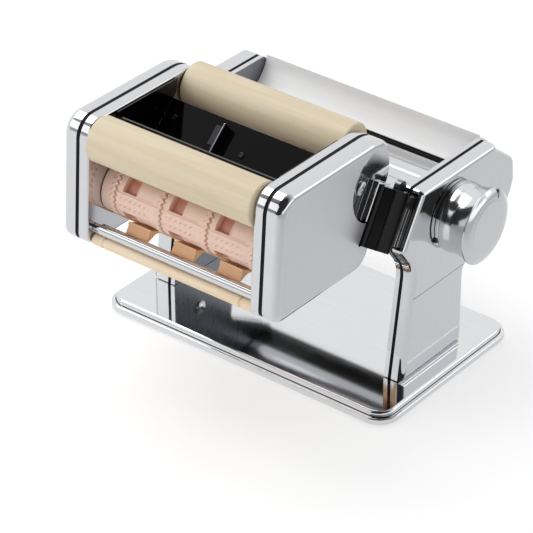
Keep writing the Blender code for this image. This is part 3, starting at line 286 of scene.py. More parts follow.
@dataclass(frozen=True)
class Beech(Finish):
    """Turned and sanded beech: long soft growth bands with short darker flecks along them."""

    band: Point = (90.0, 5.0, 5.0)
    band_limits: Flat = (0.3, 0.65)
    fleck: Point = (7.0, 0.5, 0.5)
    fleck_limits: Flat = (0.28, 0.42)
    fleck_tint: float = 0.55

    def tint_share(self, tree: Tree, place: Socket, height: Socket) -> Socket:
        """Growth bands along the wood, broken up by the flecks.

        Args:
            tree: the material's node tree.
            place: the object's own coordinates.
            height: the pattern.

        Returns:
            A share from dark to light.
        """
        slow, short = (self.stretched(tree, place, sizes) for sizes in (self.band, self.fleck))
        bands = noise(tree, slow, {"Detail": 3.0, "Roughness": 0.5, "Distortion": 0.6})
        flecks = noise(tree, short, {"Detail": 2.0})
        dark = remap(tree, flecks, self.fleck_limits, (self.fleck_tint, 1.0))
        return combine(tree, "MULTIPLY", remap(tree, bands, self.band_limits), dark)


@dataclass(frozen=True)
class Moulded(Finish):
    """A moulded skin tone with painted shade: a deeper tone in its pockets and a brown one in its
    grooves.
    """

    # Painted shade colours: deeper pink for the pockets, brown for the grooves and dashes.
    deep: str = "#D99A86"
    groove: str = "#B98350"

    def tint_over(self, tree: Tree, tint: Socket) -> Socket:
        """Painted shade: the deeper tone over the pockets, and a brown one in the crimped grooves
        and sunk dashes.

        Args:
            tree: the material's node tree.
            tint: the tint so far.

        Returns:
            The tint that is seen.
        """
        for layer, colour in ((POCKET_SHADE_LAYER, self.deep), (GROOVE_SHADE_LAYER, self.groove)):
            depth = add_node(tree, "ShaderNodeAttribute", attribute_name=layer).outputs["Fac"]
            feeds = {0: depth, COLOUR_MIX[0]: tint, COLOUR_MIX[1]: linear(colour)}
            tint = add_node(tree, "ShaderNodeMix", feeds, data_type="RGBA").outputs[2]
        return tint


# Pressed steel, nickel and chrome plated, then buffed: clear reflections with a faint haze.
CHROME = Finish(
    "buffed_chrome_plate", "#D9DADC", "#D0D1D4", metallic=1.0, roughness=0.07, swing=0.02,
    pattern=(14.0, 1.2, 14.0), relief=0.003, strength=0.12)
# The covers' wide faces, buffed with a coarser wheel: an even grey without clear pictures in it.
SATIN = Finish(
    "satin_buffed_plate", "#DBDBDE", "#D2D3D6", metallic=1.0, roughness=0.34, swing=0.04,
    pattern=(14.0, 0.8, 14.0), relief=0.004, strength=0.12)
# Rolled stainless strip with a dull finish, as bent for the feed sheet: soft, pale and even. On the
# brackets' flange edges it paints a highlight line.
DULL = Finish(
    "dull_rolled_stainless", "#FFFFFF", "#F7F7F8", roughness=0.6, swing=0.05,
    pattern=(20.0, 1.0, 1.0), relief=0.004, strength=0.15)
# Rolled stainless sheet, mirror polished: the base reflects the machine like a dark mirror.
MIRROR = Finish(
    "mirror_polished_stainless", "#E2E3E4", "#DADBDD", metallic=1.0, roughness=0.06, swing=0.02,
    pattern=(30.0, 3.0, 30.0), relief=0.003, strength=0.10)
# Cold-rolled steel plate, only lightly buffed inside: a blue-grey that shows no clear pictures.
PLATE = Finish(
    "cold_rolled_steel_plate", "#8D9197", "#80848B", metallic=1.0, roughness=0.28, swing=0.05,
    pattern=(18.0, 1.2, 18.0), relief=0.004, strength=0.15)
# Turned steel left bright from the lathe: fine rings round the piece soften the highlights.
TURNED = Finish(
    "lathe_turned_steel", "#C9CACD", "#B9BABE", metallic=1.0, roughness=0.20, swing=0.05,
    pattern=(0.5, 9.0, 9.0), relief=0.006, strength=0.25)
# Pressed and oil-soaked sintered bronze: dull brown-gold with a grainy surface.
BRONZE = Finish(
    "sintered_bronze_bush", "#A8885C", "#8A6C45", metallic=1.0, roughness=0.45, swing=0.08,
    pattern=(0.4, 0.4, 0.4), relief=0.02, strength=0.5)
# Injection-moulded black ABS: deep black with a soft sheen from a lightly polished tool.
ABS = Finish(
    "moulded_black_abs", "#0C0C0D", "#060607", roughness=0.14, swing=0.04, pattern=(1.5, 1.5, 1.5),
    relief=0.004, strength=0.15, specular=0.22)
# Black enamelled sheet: glossy enough to mirror the wood rollers over it.
ENAMEL = Finish(
    "gloss_black_enamel", "#060607", "#030303", roughness=0.06, swing=0.02, pattern=(3.0, 3.0, 3.0),
    relief=0.003, strength=0.1, specular=0.45)
# Phosphated steel screws: a dark grey oxide skin that keeps a dull glint. The same dark grey paints
# the shade line in the base rim's fillet.
OXIDE = Finish(
    "phosphated_steel_screw", "#4A4A4D", "#333336", metallic=1.0, roughness=0.35, swing=0.08,
    pattern=(0.4, 0.4, 0.4), relief=0.01, strength=0.4)
# Spun brass cap, nickel and chrome plated: bright, with soft edges to its dark bands.
SPUN = Finish(
    "spun_chromed_cap", "#DCDDDF", "#D2D3D6", metallic=1.0, roughness=0.15, swing=0.04,
    pattern=(20.0, 1.0, 1.0), relief=0.003, strength=0.15)
# Moulded nitrile rubber: matt and slightly dusty; its near-black also paints the shade in the
# covers' splits.
RUBBER = Finish(
    "matt_nitrile_rubber", "#121213", "#0B0B0C", roughness=0.75, swing=0.08,
    pattern=(0.8, 0.8, 0.8), relief=0.03, strength=0.5, specular=0.3)
# Turned beech, sanded and oiled: cream with tan growth bands.
BEECH = Beech(
    "sanded_beech", "#DDD0B6", "#D5C4A5", roughness=0.48, swing=0.07, pattern=(6.0, 0.35, 0.35),
    relief=0.03, strength=0.35)
# The same wood turned thinner and unoiled: paler, with the same grain.
DOWEL_WOOD = Beech(
    "raw_beech_dowel", "#F7E4CB", "#EED3AE", roughness=0.55, swing=0.07, pattern=(6.0, 0.3, 0.3),
    relief=0.03, strength=0.35)
# Moulded acetal in a skin tone: waxy, slightly see-through at thin edges, with painted shade in its
# pockets, grooves and dashes.
PEACH = Moulded(
    "peach_moulded_acetal", "#F6D8C8", "#F0C9B7", roughness=0.38, swing=0.06,
    pattern=(0.7, 0.7, 0.7), relief=0.01, strength=0.3, coat=0.1, subsurface=0.12)
# Thin moulded polycarbonate, tinted amber: warm and glossy where it catches the light.
AMBER = Finish(
    "amber_moulded_polycarbonate", "#F6C795", "#EDB57B", roughness=0.22, swing=0.05,
    pattern=(1.5, 1.5, 1.5), relief=0.006, strength=0.2, coat=0.3, subsurface=0.2)


@dataclass
class Workshop:
    """Finishes meshes as pieces: material, body and the CAD nodes they stand for."""

    made: dict[str, bpy.types.Material] = field(default_factory=dict)

    def coat(self, finish: Finish) -> bpy.types.Material:
        """The finish's material, built once.

        Args:
            finish: the surface.

        Returns:
            Its material.
        """
        if finish.name not in self.made:
            self.made[finish.name] = finish.material()
        return self.made[finish.name]

    def dress(
            self, piece: Piece, finish: Finish, body: Body, slot: Slot,
            nodes: Sequence[str] = ()) -> Piece:
        """Gives a piece its finish and its place among the CAD bodies.

        Args:
            piece: the finished shape, in the row frame.
            finish: its surface.
            body: the body that it moves with.
            slot: the record's material slot; not used.
            nodes: the CAD nodes it stands for.

        Returns:
            The same piece.
        """
        piece.data.materials.clear()
        piece.data.materials.append(self.coat(finish))
        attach(piece, body.value)
        if nodes:
            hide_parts(*nodes)
        LOG.info("%s rides on %s", piece.name, body.value)
        return piece

    def keep(self, node: str, finish: Finish) -> None:
        """Leaves a CAD node's shape as it is and gives it a real finish.

        Args:
            node: the node's name.
            finish: its surface.
        """
        for index in range(len(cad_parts[node].material_slots)):
            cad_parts[node].material_slots[index].material = self.coat(finish)
        LOG.info("%s keeps its CAD shape", node)


def unit(vector: Flat) -> Flat:
    """The vector at a length of one."""
    length = math.hypot(*vector)
    return vector[0] / length, vector[1] / length


def rounded(corners: Sequence[Point], inset: float = 0.0, step: float = ARC_STEP) -> list[Flat]:
    """Points of a closed outline with rounded corners.

    Args:
        corners: each corner as two coordinates and a radius, anticlockwise.
        inset: how far the whole outline moves in.
        step: the most that one arc segment turns.

    Returns:
        The outline's points.
    """
    points: list[Flat] = []
    for index, corner in enumerate(corners):
        before, after = corners[index - 1], corners[(index + 1) % len(corners)]
        first = unit((corner[0] - before[0], corner[1] - before[1]))
        second = unit((after[0] - corner[0], after[1] - corner[1]))
        turn = first[0] * second[1] - first[1] * second[0]
        side = math.copysign(1, turn)
        here = [corner[axis] + (second[axis] - first[axis]) / turn * inset for axis in (0, 1)]
        radius = max(corner[2] - side * inset, LEAST_RADIUS)
        angle = math.atan2(turn, first[0] * second[0] + first[1] * second[1])
        reach = radius * math.tan(abs(angle) / 2)
        start = here[0] - first[0] * reach, here[1] - first[1] * reach
        centre = start[0] - side * first[1] * radius, start[1] + side * first[0] * radius
        begin = math.atan2(start[1] - centre[1], start[0] - centre[0])
        # The count comes from the uninset outline, so that rings of one shape match.
        count = max(2, round(abs(angle) / step))
        for part in range(count + 1):
            way = begin + angle * part / count
            points.append(polar(centre, radius, way))
    return points


def rounded_path(path: Sequence[Flat], radius: float, steps: int = 8) -> list[Flat]:
    """An open path whose inner corners are rounded.

    Args:
        path: the corners.
        radius: how far back from each corner the curve starts, at most.
        steps: segments in each curve.

    Returns:
        The smooth path.
    """
    points = [path[0]]
    for before, corner, after in zip(path, path[1:], path[2:]):
        back = min(radius, math.dist(before, corner) * BEND_SHARE)
        ahead = min(radius, math.dist(corner, after) * BEND_SHARE)
        start = Vector(corner) + (Vector(before) - Vector(corner)).normalized() * back
        end = Vector(corner) + (Vector(after) - Vector(corner)).normalized() * ahead
        for step in range(steps + 1):
            share = step / steps
            rest = 1 - share
            spot = start * rest ** 2 + Vector(corner) * 2 * share * rest + end * share ** 2
            points.append((spot.x, spot.y))
    return points + [path[-1]]


def at_x(x: float, points: Sequence[Flat]) -> Ring:
    """The side-view points as a ring at x."""
    return [(x, y, z) for y, z in points]


def polar(centre: Flat, radius: float, angle: float) -> Flat:
    """The place at this distance and angle from centre."""
    return centre[0] + radius * math.cos(angle), centre[1] + radius * math.sin(angle)


def circle(
        x: float, radius: float, centre: Flat, sides: int = ROUND_SIDES, turn: float = 0.0) -> Ring:
    """A ring round an X axis that passes through centre."""
    return [(x, *polar(centre, radius, turn + FULL_TURN * index / sides)) for index in range(sides)]


def arc(centre: Flat, radius: float, start: float, end: float, steps: int = 6) -> list[Flat]:
    """Points of an arc, with angles in degrees."""
    angles = [math.radians(start + (end - start) * step / steps) for step in range(steps + 1)]
    return [polar(centre, radius, angle) for angle in angles]


def mirrored(side: Side, profile: Sequence[Flat]) -> list[Flat]:
    """A profile whose first measure is a distance from the middle, on this side along X."""
    return [(side.value * x, other) for x, other in profile]


def span(side: Side, start: float, end: float) -> Flat:
    """Two distances from the middle as places along X on this side, the lower one first."""
    low, high = sorted((side.value * start, side.value * end))
    return low, high


class Draft:
    """A mesh in the making."""

    def __init__(self) -> None:
        """Starts with nothing in it."""
        self.mesh = bmesh.new()

    def skin(self, rings: Sequence[Ring], closed: bool = False) -> "Draft":
        """Adds a closed shell through rings of points.

        Args:
            rings: the rings, in order.
            closed: whether the last ring joins the first; otherwise both get a flat cap.

        Returns:
            The draft itself.
        """
        loops = [[self.mesh.verts.new(point) for point in ring] for ring in rings]
        for lower, upper in zip(loops, loops[1:] + (loops[:1] if closed else [])):
            for index in range(len(lower)):
                self.mesh.faces.new(
                    (lower[index - 1], lower[index], upper[index], upper[index - 1]))
        if not closed:
            self.mesh.faces.new(loops[0])
            self.mesh.faces.new(loops[-1])
        return self

    def bar(self, low: float, high: float, corners: Sequence[Flat]) -> "Draft":
        """Adds a straight bar along X with this side view."""
        return self.skin([at_x(low, corners), at_x(high, corners)])

    def piece(self, name: str) -> Piece:
        """Turns the draft into an object in the row frame.

        Args:
            name: the piece's name.

        Returns:
            The object, smooth with sharp creases.
        """
        bmesh.ops.recalc_face_normals(self.mesh, faces=self.mesh.faces)
        for vert in self.mesh.verts:
            vert.co = (vert.co + ROOT) * MM
        mesh = bpy.data.meshes.new(name)
        self.mesh.to_mesh(mesh)
        self.mesh.free()
        piece = bpy.data.objects.new(name, mesh)
        bpy.context.scene.collection.objects.link(piece)
        shade(piece)
        return piece


def shade(piece: Piece) -> None:
    """Smooth faces with sharp creases."""
    piece.data.shade_smooth()
    piece.data.set_sharp_from_angle(angle=SHARP_ANGLE)


def face_off(
        shop: Workshop, piece: Piece, finish: Finish, side: int, past: float | None = None) -> None:
    """Gives some of a piece's faces a finish of their own.

    Args:
        shop: keeps the materials.
        piece: the dressed piece.
        finish: what those faces get.
        side: the sign of X on which they lie.
        past: how far out they lie; without it they are the wide flat faces.
    """
    piece.data.materials.append(shop.coat(finish))
    for face in piece.data.polygons:
        flat = face.normal.x * side > FLAT_FACING
        if flat if past is None else side * (face.center.x / MM - ROOT.x) > past:
            face.material_index = len(piece.data.materials) - 1


def settle(piece: Piece) -> Piece:
    """Applies every modifier of a piece.

    Args:
        piece: a piece with modifiers.

    Returns:
        The piece, with its mesh as the modifiers left it.
    """
    graph = bpy.context.evaluated_depsgraph_get()
    mesh = bpy.data.meshes.new_from_object(piece.evaluated_get(graph))
    piece.modifiers.clear()
    piece.data = mesh
    mesh.name = piece.name
    shade(piece)
    return piece


def carve(piece: Piece, tools: Sequence[Piece], operation: str = "DIFFERENCE") -> Piece:
    """Cuts tools out of a piece, or joins them to it.

    Args:
        piece: what stays.
        tools: the shapes that cut or join, which are deleted.
        operation: a Boolean modifier's operation.

    Returns:
        The piece.
    """
    for tool in tools:
        modifier = piece.modifiers.new(tool.name, "BOOLEAN")
        modifier.object = tool
        modifier.operation = operation
        modifier.solver = "EXACT"
    settle(piece)
    for tool in tools:
        bpy.data.objects.remove(tool, do_unlink=True)
    return piece


def soften(piece: Piece, width: float, segments: int = 2) -> Piece:
    """Rounds a piece's sharp edges by width millimetres.

    Args:
        piece: the piece.
        width: how wide each rounding is.
        segments: faces in each rounding.

    Returns:
        The piece.
    """
    modifier = piece.modifiers.new("edge_round", "BEVEL")
    modifier.width = width * MM
    modifier.segments = segments
    modifier.limit_method = "ANGLE"
    modifier.angle_limit = BEVEL_ANGLE
    modifier.use_clamp_overlap = True
    modifier.harden_normals = False
    return settle(piece)


def even(piece: Piece) -> Piece:
    """Weights the shading by face area, so that wide faces look flat next to rounded edges.

    Args:
        piece: the piece.

    Returns:
        The piece.
    """
    modifier = piece.modifiers.new("even_shading", "WEIGHTED_NORMAL")
    modifier.keep_sharp = True
    return piece


def hole(x_ends: Flat, centre: Flat, radius: float, sides: int = SMALL_SIDES) -> Piece:
    """A round cutter along X."""
    rings = [circle(x, radius, centre, sides, BORE_TURN) for x in sorted(x_ends)]
    return Draft().skin(rings).piece("cutter")


def lathe(
        name: str, profile: Sequence[Flat], centre: Flat, sides: int = ROUND_SIDES,
        closed: bool = False) -> Piece:
    """A turned piece on an X axis.

    Args:
        name: the piece's name.
        profile: pairs of X and radius.
        centre: the axis in the side view.
        sides: points round the axis.
        closed: whether a hole runs right through it.

    Returns:
        The piece.
    """
    return Draft().skin(
        [circle(x, radius, centre, sides) for x, radius in profile], closed).piece(name)


def shell(
        name: str, side: int, corners: Sequence[Point], open_at: float, depth: float, wall: float,
        edge: float) -> Piece:
    """A pressed cover, open towards the machine, with a rounded rim on its face.

    Args:
        name: the piece's name.
        side: the sign of X on which its face lies.
        corners: its side view.
        open_at: where its open side is.
        depth: how much further out its face is.
        wall: the sheet's thickness.
        edge: the radius of the rim outside.

    Returns:
        The piece.
    """
    face = open_at + depth
    rings = [at_x(side * open_at, rounded(corners, wall)), at_x(side * open_at, rounded(corners))]
    inner = max(edge - wall, LEAST_RADIUS)
    for step in range(EDGE_STEPS + 1):
        angle = math.pi / 2 * step / EDGE_STEPS
        out, back = 1 - math.cos(angle), 1 - math.sin(angle)
        rings.append(at_x(side * (face - edge * back), rounded(corners, edge * out)))
        rings.insert(
            0, at_x(side * (face - wall - inner * back), rounded(corners, wall + inner * out)))
    return Draft().skin(rings).piece(name)


def sheet(name: str, path: Sequence[Flat], thickness: float, half: float, bend: float) -> Piece:
    """A bent sheet along X.

    Args:
        name: the piece's name.
        path: the side view of one face.
        thickness: to the left of the path, or to the right if it is negative.
        half: half its length along X.
        bend: the radius of its bends.

    Returns:
        The piece.
    """
    smooth = rounded_path(path, bend)
    other: list[Flat] = []
    for index, (y, z) in enumerate(smooth):
        before, after = smooth[max(index - 1, 0)], smooth[min(index + 1, len(smooth) - 1)]
        way = unit((after[0] - before[0], after[1] - before[1]))
        other.append((y - way[1] * thickness, z + way[0] * thickness))
    return Draft().bar(-half, half, smooth + other[::-1]).piece(name)


def shade_strip(name: str, corners: Sequence[Point], side: int, start: float, end: float) -> Piece:
    """A black strip of painted shade that fills a split between two pressings, set back a little
    from their edges.

    Args:
        name: the piece's name.
        corners: the pressings' side view.
        side: the sign of X.
        start: where the strip starts.
        end: where it ends.

    Returns:
        The piece.
    """
    section = ((start, SHADE_STRIP_BACK), (start, SHADE_STRIP_FACE), (end, SHADE_STRIP_FACE), (end, SHADE_STRIP_BACK))
    rings = [at_x(side * x, rounded(corners, inset)) for x, inset in section]
    return Draft().skin(rings, True).piece(name)


@dataclass(frozen=True)
class Machine:
    """Sizes that several sub-assemblies share, and the places that follow from them."""

    inner_width: float = 150.4
    plate: float = 3.4
    split: float = 1.0
    right_depth: float = 7.8
    left_depth: float = 12.0
    seam: float = 0.55
    column_depth: float = 115.1
    column_height: float = 121.3
    roller_radius: float = 11.0
    nip_share: float = 0.334
    roller_share: float = 0.742
    open_gap: float = 2.2
    knob_shares: Flat = (0.1025, 0.7634)
    outline_shares: tuple[Point, ...] = (
        (-0.265, 0.000, 0.004), (0.271, 0.000, 0.004), (0.240, 0.419, 0.050), (0.600, 0.614, 0.050),
        (0.637, 0.666, 0.040), (0.657, 0.734, 0.050), (0.637, 0.848, 0.065), (0.478, 0.956, 0.025),
        (0.437, 1.000, 0.032), (-0.196, 1.000, 0.025), (-0.343, 0.738, 0.021),
        (-0.217, 0.596, 0.165),
    )

    def share(self, depth: float, height: float) -> Flat:
        """A place in the side view from shares of a column's depth and height."""
        return depth * self.column_depth, height * self.column_height

    @property
    def corners(self) -> list[Point]:
        """The side view of a column."""
        found = []
        for depth, height, radius in self.outline_shares:
            place = self.share(depth, height)
            found.append((place[0], max(place[1], FIT), radius * self.column_height))
        return found

    @property
    def inner_face(self) -> float:
        """Half the room between the column plates."""
        return self.inner_width / 2

    @property
    def cover_start(self) -> float:
        """Where a column cover's open side is."""
        return self.inner_face + self.plate + self.split

    @property
    def front_roller(self) -> Flat:
        """The front smooth roller's axis."""
        middle, height = self.share(self.nip_share, self.roller_share)
        return middle - self.roller_reach, height

    @property
    def rear_roller(self) -> Flat:
        """The rear smooth roller's axis."""
        middle, height = self.share(self.nip_share, self.roller_share)
        return middle + self.roller_reach, height

    @property
    def roller_reach(self) -> float:
        """From the nip to a roller's axis."""
        return self.roller_radius + self.open_gap / 2

    @property
    def knob_axis(self) -> Flat:
        """The knob's axis."""
        return self.share(*self.knob_shares)

    @property
    def rail_foot(self) -> Vector:
        """The lower end of the head's front edge."""
        return Vector(self.corners[RAIL_FOOT_CORNER][:2])

    @property
    def rail_up(self) -> Vector:
        """The way up that edge."""
        return (Vector(self.corners[RAIL_TOP_CORNER][:2]) - self.rail_foot).normalized()

    @property
    def rail_out(self) -> Vector:
        """The way out from the head, square to the edge."""
        return Vector((-self.rail_up.y, self.rail_up.x))

    def on_rail(self, along: float, out: float) -> Flat:
        """A place measured along the rail and out from the head."""
        spot = self.rail_foot + self.rail_up * along + self.rail_out * out
        return spot.x, spot.y

    def rail_box(self, start: float, end: float, low: float, high: float) -> list[Flat]:
        """A rectangle in the rail's own directions."""
        return [
            self.on_rail(start, low), self.on_rail(start, high), self.on_rail(end, high),
            self.on_rail(end, low)]


MACHINE = Machine()


@dataclass
class Assembly:
    """A sub-assembly, whose pieces one workshop finishes and most of which ride on one body."""

    shop: Workshop
    BODY = Body.FRAME

    def add(
            self, piece: Piece, finish: Finish, slot: Slot, *nodes: str,
            body: Body | None = None) -> None:
        """Adds an evenly shaded piece.

        Args:
            piece: the finished shape.
            finish: its surface.
            slot: the record's material slot, passed on to the workshop.
            nodes: the CAD nodes it stands for.
            body: the body that it moves with, where it isn't the sub-assembly's own.
        """
        self.shop.dress(even(piece), finish, body or self.BODY, slot, nodes)


@dataclass
class BasePan(Assembly):
    """The pressed base pan with its stepped, rolled rim, a painted shade line in the rim's fillet,
    and its four rubber feet.
    """

    length: float = 196.6
    width: float = 127.4
    corner: float = 11.0
    height: float = 7.0
    wall: float = 1.2
    roll: float = 1.8
    flange: float = 2.7
    step: float = 3.2
    bead: float = 0.9
    fillet: float = 0.7
    foot_radius: float = 6.5
    foot_showing: float = 1.3
    foot_inset: float = 15.0
    bend: float = 0.4
    hem: float = 0.3
    shade_line: tuple[Flat, ...] = ((0.15, 0.05), (0.55, 0.05), (0.15, 0.4))

    def ring(self, outset: float, z: float) -> Ring:
        """The pan's outline at one height, moved out from the raised top's wall.

        Args:
            outset: how far out it moves.
            z: the height.

        Returns:
            The ring.
        """
        x, y, radius = self.length / 2 + outset, self.width / 2 + outset, self.corner + outset
        corners = [(-x, -y, radius), (x, -y, radius), (x, y, radius), (-x, y, radius)]
        return [(across, along, z) for across, along in rounded(corners)]

    def section(self) -> list[Flat]:
        """The pressed profile from under the top sheet, round the hem, to the top's rolled edge."""
        low, inner, half = -self.step - self.wall, self.flange - self.wall, self.wall / 2
        under = arc((-self.roll, -self.roll), self.roll - self.wall, 90, 0, 4)
        under += [(-self.wall, low + self.bend), (-self.wall + self.bend, low)]
        under += [(inner, low), (inner, -self.height + self.hem)]
        hem = arc((self.flange - half, -self.height + half), half, 180, 360, 8)
        bead = arc((self.flange - self.bead, -self.step - self.bead), self.bead, 0, 90)
        fillet = arc((self.fillet, -self.step + self.fillet), self.fillet, 270, 180, 5)
        return under + hem + bead + fillet + arc((-self.roll, -self.roll), self.roll, 0, 90, 8)

    def build(self) -> None:
        """Makes the pan and its feet."""
        rings = [self.ring(outset, z) for outset, z in self.section()]
        pan = Draft().skin(rings).piece("pressed_base_pan")
        self.add(pan, MIRROR, Slot.STEEL, "base_pan")
        # A dark grey ring in the fillet where the raised top's wall meets the flange is painted
        # shade.
        rings = [self.ring(outset, -self.step + up) for outset, up in self.shade_line]
        line = Draft().skin(rings, True).piece("rim_shade_line")
        self.shop.dress(line, OXIDE, Body.FRAME, Slot.STEEL)
        across, along = self.length / 2 - self.foot_inset, self.width / 2 - self.foot_inset
        for side in Side:
            for word, y in (("front", -along), ("rear", along)):
                self.foot(f"foot_{word}_{side.word}", side.value * across, y)

    def foot(self, node: str, x: float, y: float) -> None:
        """Makes one foot with a rounded sole.

        Args:
            node: the CAD node it stands for.
            x: its place across.
            y: its place along.
        """
        bottom, curve = -self.height - self.foot_showing, self.foot_showing / 2
        top, inner = -self.wall - FIT, self.foot_radius - curve
        profile = [(bottom, inner)]
        profile += [
            (bottom + curve - rise, inner + reach)
            for reach, rise in arc((0, 0), curve, 90, 0, 4)[1:]]
        profile.append((top, self.foot_radius))
        rings = []
        for z, radius in profile:
            spots = circle(0, radius, (x, y), SMALL_SIDES)
            rings.append([(across, along, z) for _, across, along in spots])
        foot = Draft().skin(rings).piece(f"rubber_{node}")
        self.add(foot, RUBBER, Slot.RUBBER, node)


@dataclass
class Columns(Assembly):
    """The two structural plates and their pressed covers."""

    wall: float = 1.2
    edge: float = 3.8
    rounding: float = 0.25
    crease_height: float = 53.6
    crease_width: float = 0.6
    crease_depth: float = 0.5
    journal: float = 4.5
    bush: float = 2.2
    shaft: float = 2.8
    socket: float = 6.8
    travel: float = 1.8
    slot_steps: int = 12
    tie_neck: float = 2.2
    ties: tuple[Flat, ...] = ((-0.090, 0.800), (0.585, 0.790), (0.020, 0.560))
    stud: Flat = (-4.5, 27.4)
    stud_radius: float = 4.4
    stud_height: float = 1.7
    stud_lift: float = 0.05
    stud_dome: tuple[Flat, ...] = ((0.5, 1.0), (0.85, 0.8), (1.0, 0.45), (1.0, 0.1))

    def build(self) -> None:
        """Makes both plates and both covers."""
        for side in Side:
            self.plate(side)
            self.cover(side)

    def plate(self, side: Side) -> None:
        """One structural plate with its journal holes, the front roller's slot and a stud.

        Args:
            side: the end it is on.
        """
        low, high = span(
            side, MACHINE.inner_face, MACHINE.inner_face + MACHINE.plate - MACHINE.seam)
        plate = Draft().bar(low, high, rounded(MACHINE.corners)).piece(f"side_plate_{side.word}")
        past = low - OVERRUN, high + OVERRUN
        tools = [
            hole(past, MACHINE.knob_axis, self.shaft + FIT),
            hole(past, MACHINE.rear_roller, self.journal + self.bush + FIT)]
        tools += [hole(past, MACHINE.share(*tie), self.tie_neck + FIT) for tie in self.ties]
        front, radius = MACHINE.front_roller, self.journal + FIT
        slot = arc((front[0] + self.travel, front[1]), radius, -90, 90, self.slot_steps)
        slot += arc(front, radius, 90, 270, self.slot_steps)
        tools.append(Draft().bar(*past, slot).piece("cutter"))
        soften(carve(plate, tools), self.rounding)
        self.add(plate, CHROME, Slot.STEEL, f"column_plate_{side.word}")
        face_off(self.shop, plate, PLATE, -side.value)
        dome = [(self.stud_lift, 1.0)] + [
            (self.stud_height * up, wide) for up, wide in self.stud_dome]
        profile = [(MACHINE.inner_face - lift, wide * self.stud_radius) for lift, wide in dome]
        stud = lathe(f"plate_stud_{side.word}", mirrored(side, profile), self.stud, SMALL_SIDES)
        self.add(stud, CHROME, Slot.STEEL)

    def cover(self, side: Side) -> None:
        """One pressed cover with a crease across its neck, and the black strip of painted shade in
        its split.

        Args:
            side: the end it is on.
        """
        depth = MACHINE.right_depth if side is Side.RIGHT else MACHINE.left_depth
        face = MACHINE.cover_start + depth
        cover = shell(
            f"side_cover_{side.word}", side.value, MACHINE.corners,
            MACHINE.cover_start + MACHINE.seam, depth - MACHINE.seam, self.wall, self.edge)
        past = span(side, face - self.wall - OVERRUN, face + OVERRUN)
        if side is Side.RIGHT:
            tools = [hole(past, MACHINE.knob_axis, self.shaft + FIT)]
        else:
            tools = [hole(past, MACHINE.rear_roller, self.socket + RUNNING_GAP)]
        deep, half = self.crease_depth, self.crease_width / 2
        crease = ((deep, -half), (-OVERRUN, -half), (-OVERRUN, half), (deep, half))
        rings = []
        for y in (-MACHINE.column_depth / 2, MACHINE.column_depth / 2):
            rings.append(
                [(side.value * (face - inwards), y, self.crease_height + up)
                 for inwards, up in crease])
        tools.append(Draft().skin(rings).piece("cutter"))
        carve(cover, tools)
        self.add(cover, CHROME, Slot.CHROME, f"column_cover_{side.word}")
        # The black strip in the split is painted shade, standing for the shade deep in the split.
        fill = MACHINE.seam - TOUCHING
        start = MACHINE.inner_face + MACHINE.plate - fill
        split_shade = shade_strip(
            f"cover_split_shade_{side.word}", MACHINE.corners, side.value, start,
            MACHINE.cover_start + fill)
        self.shop.dress(split_shade, RUBBER, Body.FRAME, Slot.BLACK)


@dataclass
class Sheets(Assembly):
    """The curved feed sheet behind the nip and the guards round the rollers."""

    thickness: float = 1.0
    end_gap: float = 0.4
    lip: float = 1.4
    wide_bend: float = 9.0
    tight_bend: float = 6.0
    feed: tuple[Flat, ...] = (
        (0.452, 1.004), (0.442, 0.957), (0.420, 0.921), (0.388, 0.887), (0.358, 0.869),
    )
    front: tuple[Flat, ...] = (
        (0.294, 0.866), (0.205, 0.870), (0.192, 0.880), (0.110, 0.884), (0.097, 0.874),
        (0.010, 0.877), (-0.003, 0.887), (-0.110, 0.882), (-0.176, 0.835), (-0.196, 0.715),
    )
    rear: tuple[Flat, ...] = (
        (0.476, 0.982), (0.560, 0.925), (0.628, 0.842), (0.640, 0.735), (0.610, 0.655),
    )

    def build(self) -> None:
        """Makes the feed sheet, the two guards and the feed lip."""
        half, wall = MACHINE.inner_face - self.end_gap, self.thickness
        for name, shares, thickness, bend, node, finish in (
            ("curved_feed_sheet", self.feed, wall, self.wide_bend, "rear_feed_sheet", DULL),
            ("bowed_front_guard", self.front, -wall, self.tight_bend, "front_guard", CHROME),
            ("bowed_rear_guard", self.rear, -wall, self.wide_bend, "rear_guard", DULL),
        ):
            path = [MACHINE.share(*share) for share in shares]
            piece = sheet(name, path, thickness, half, bend)
            self.add(piece, finish, Slot.STEEL, node)
        # A black lip fills the room between the feed sheet's lower edge and the rear roller; its
        # black is painted shade, standing for the dark slit at the nip.
        edge, centre = MACHINE.share(*self.feed[-1]), MACHINE.rear_roller
        under, clear = edge[1] - wall - FIT, MACHINE.roller_radius + RUNNING_GAP
        corners = [(edge[0] + self.lip, under), (edge[0], under)]
        for y in (edge[0], edge[0] + self.lip):
            corners.append((y, centre[1] + math.sqrt(clear ** 2 - (centre[0] - y) ** 2)))
        lip = Draft().bar(-half, half, corners).piece("slit_shade_lip")
        self.add(lip, ABS, Slot.BLACK, "feed_lip")


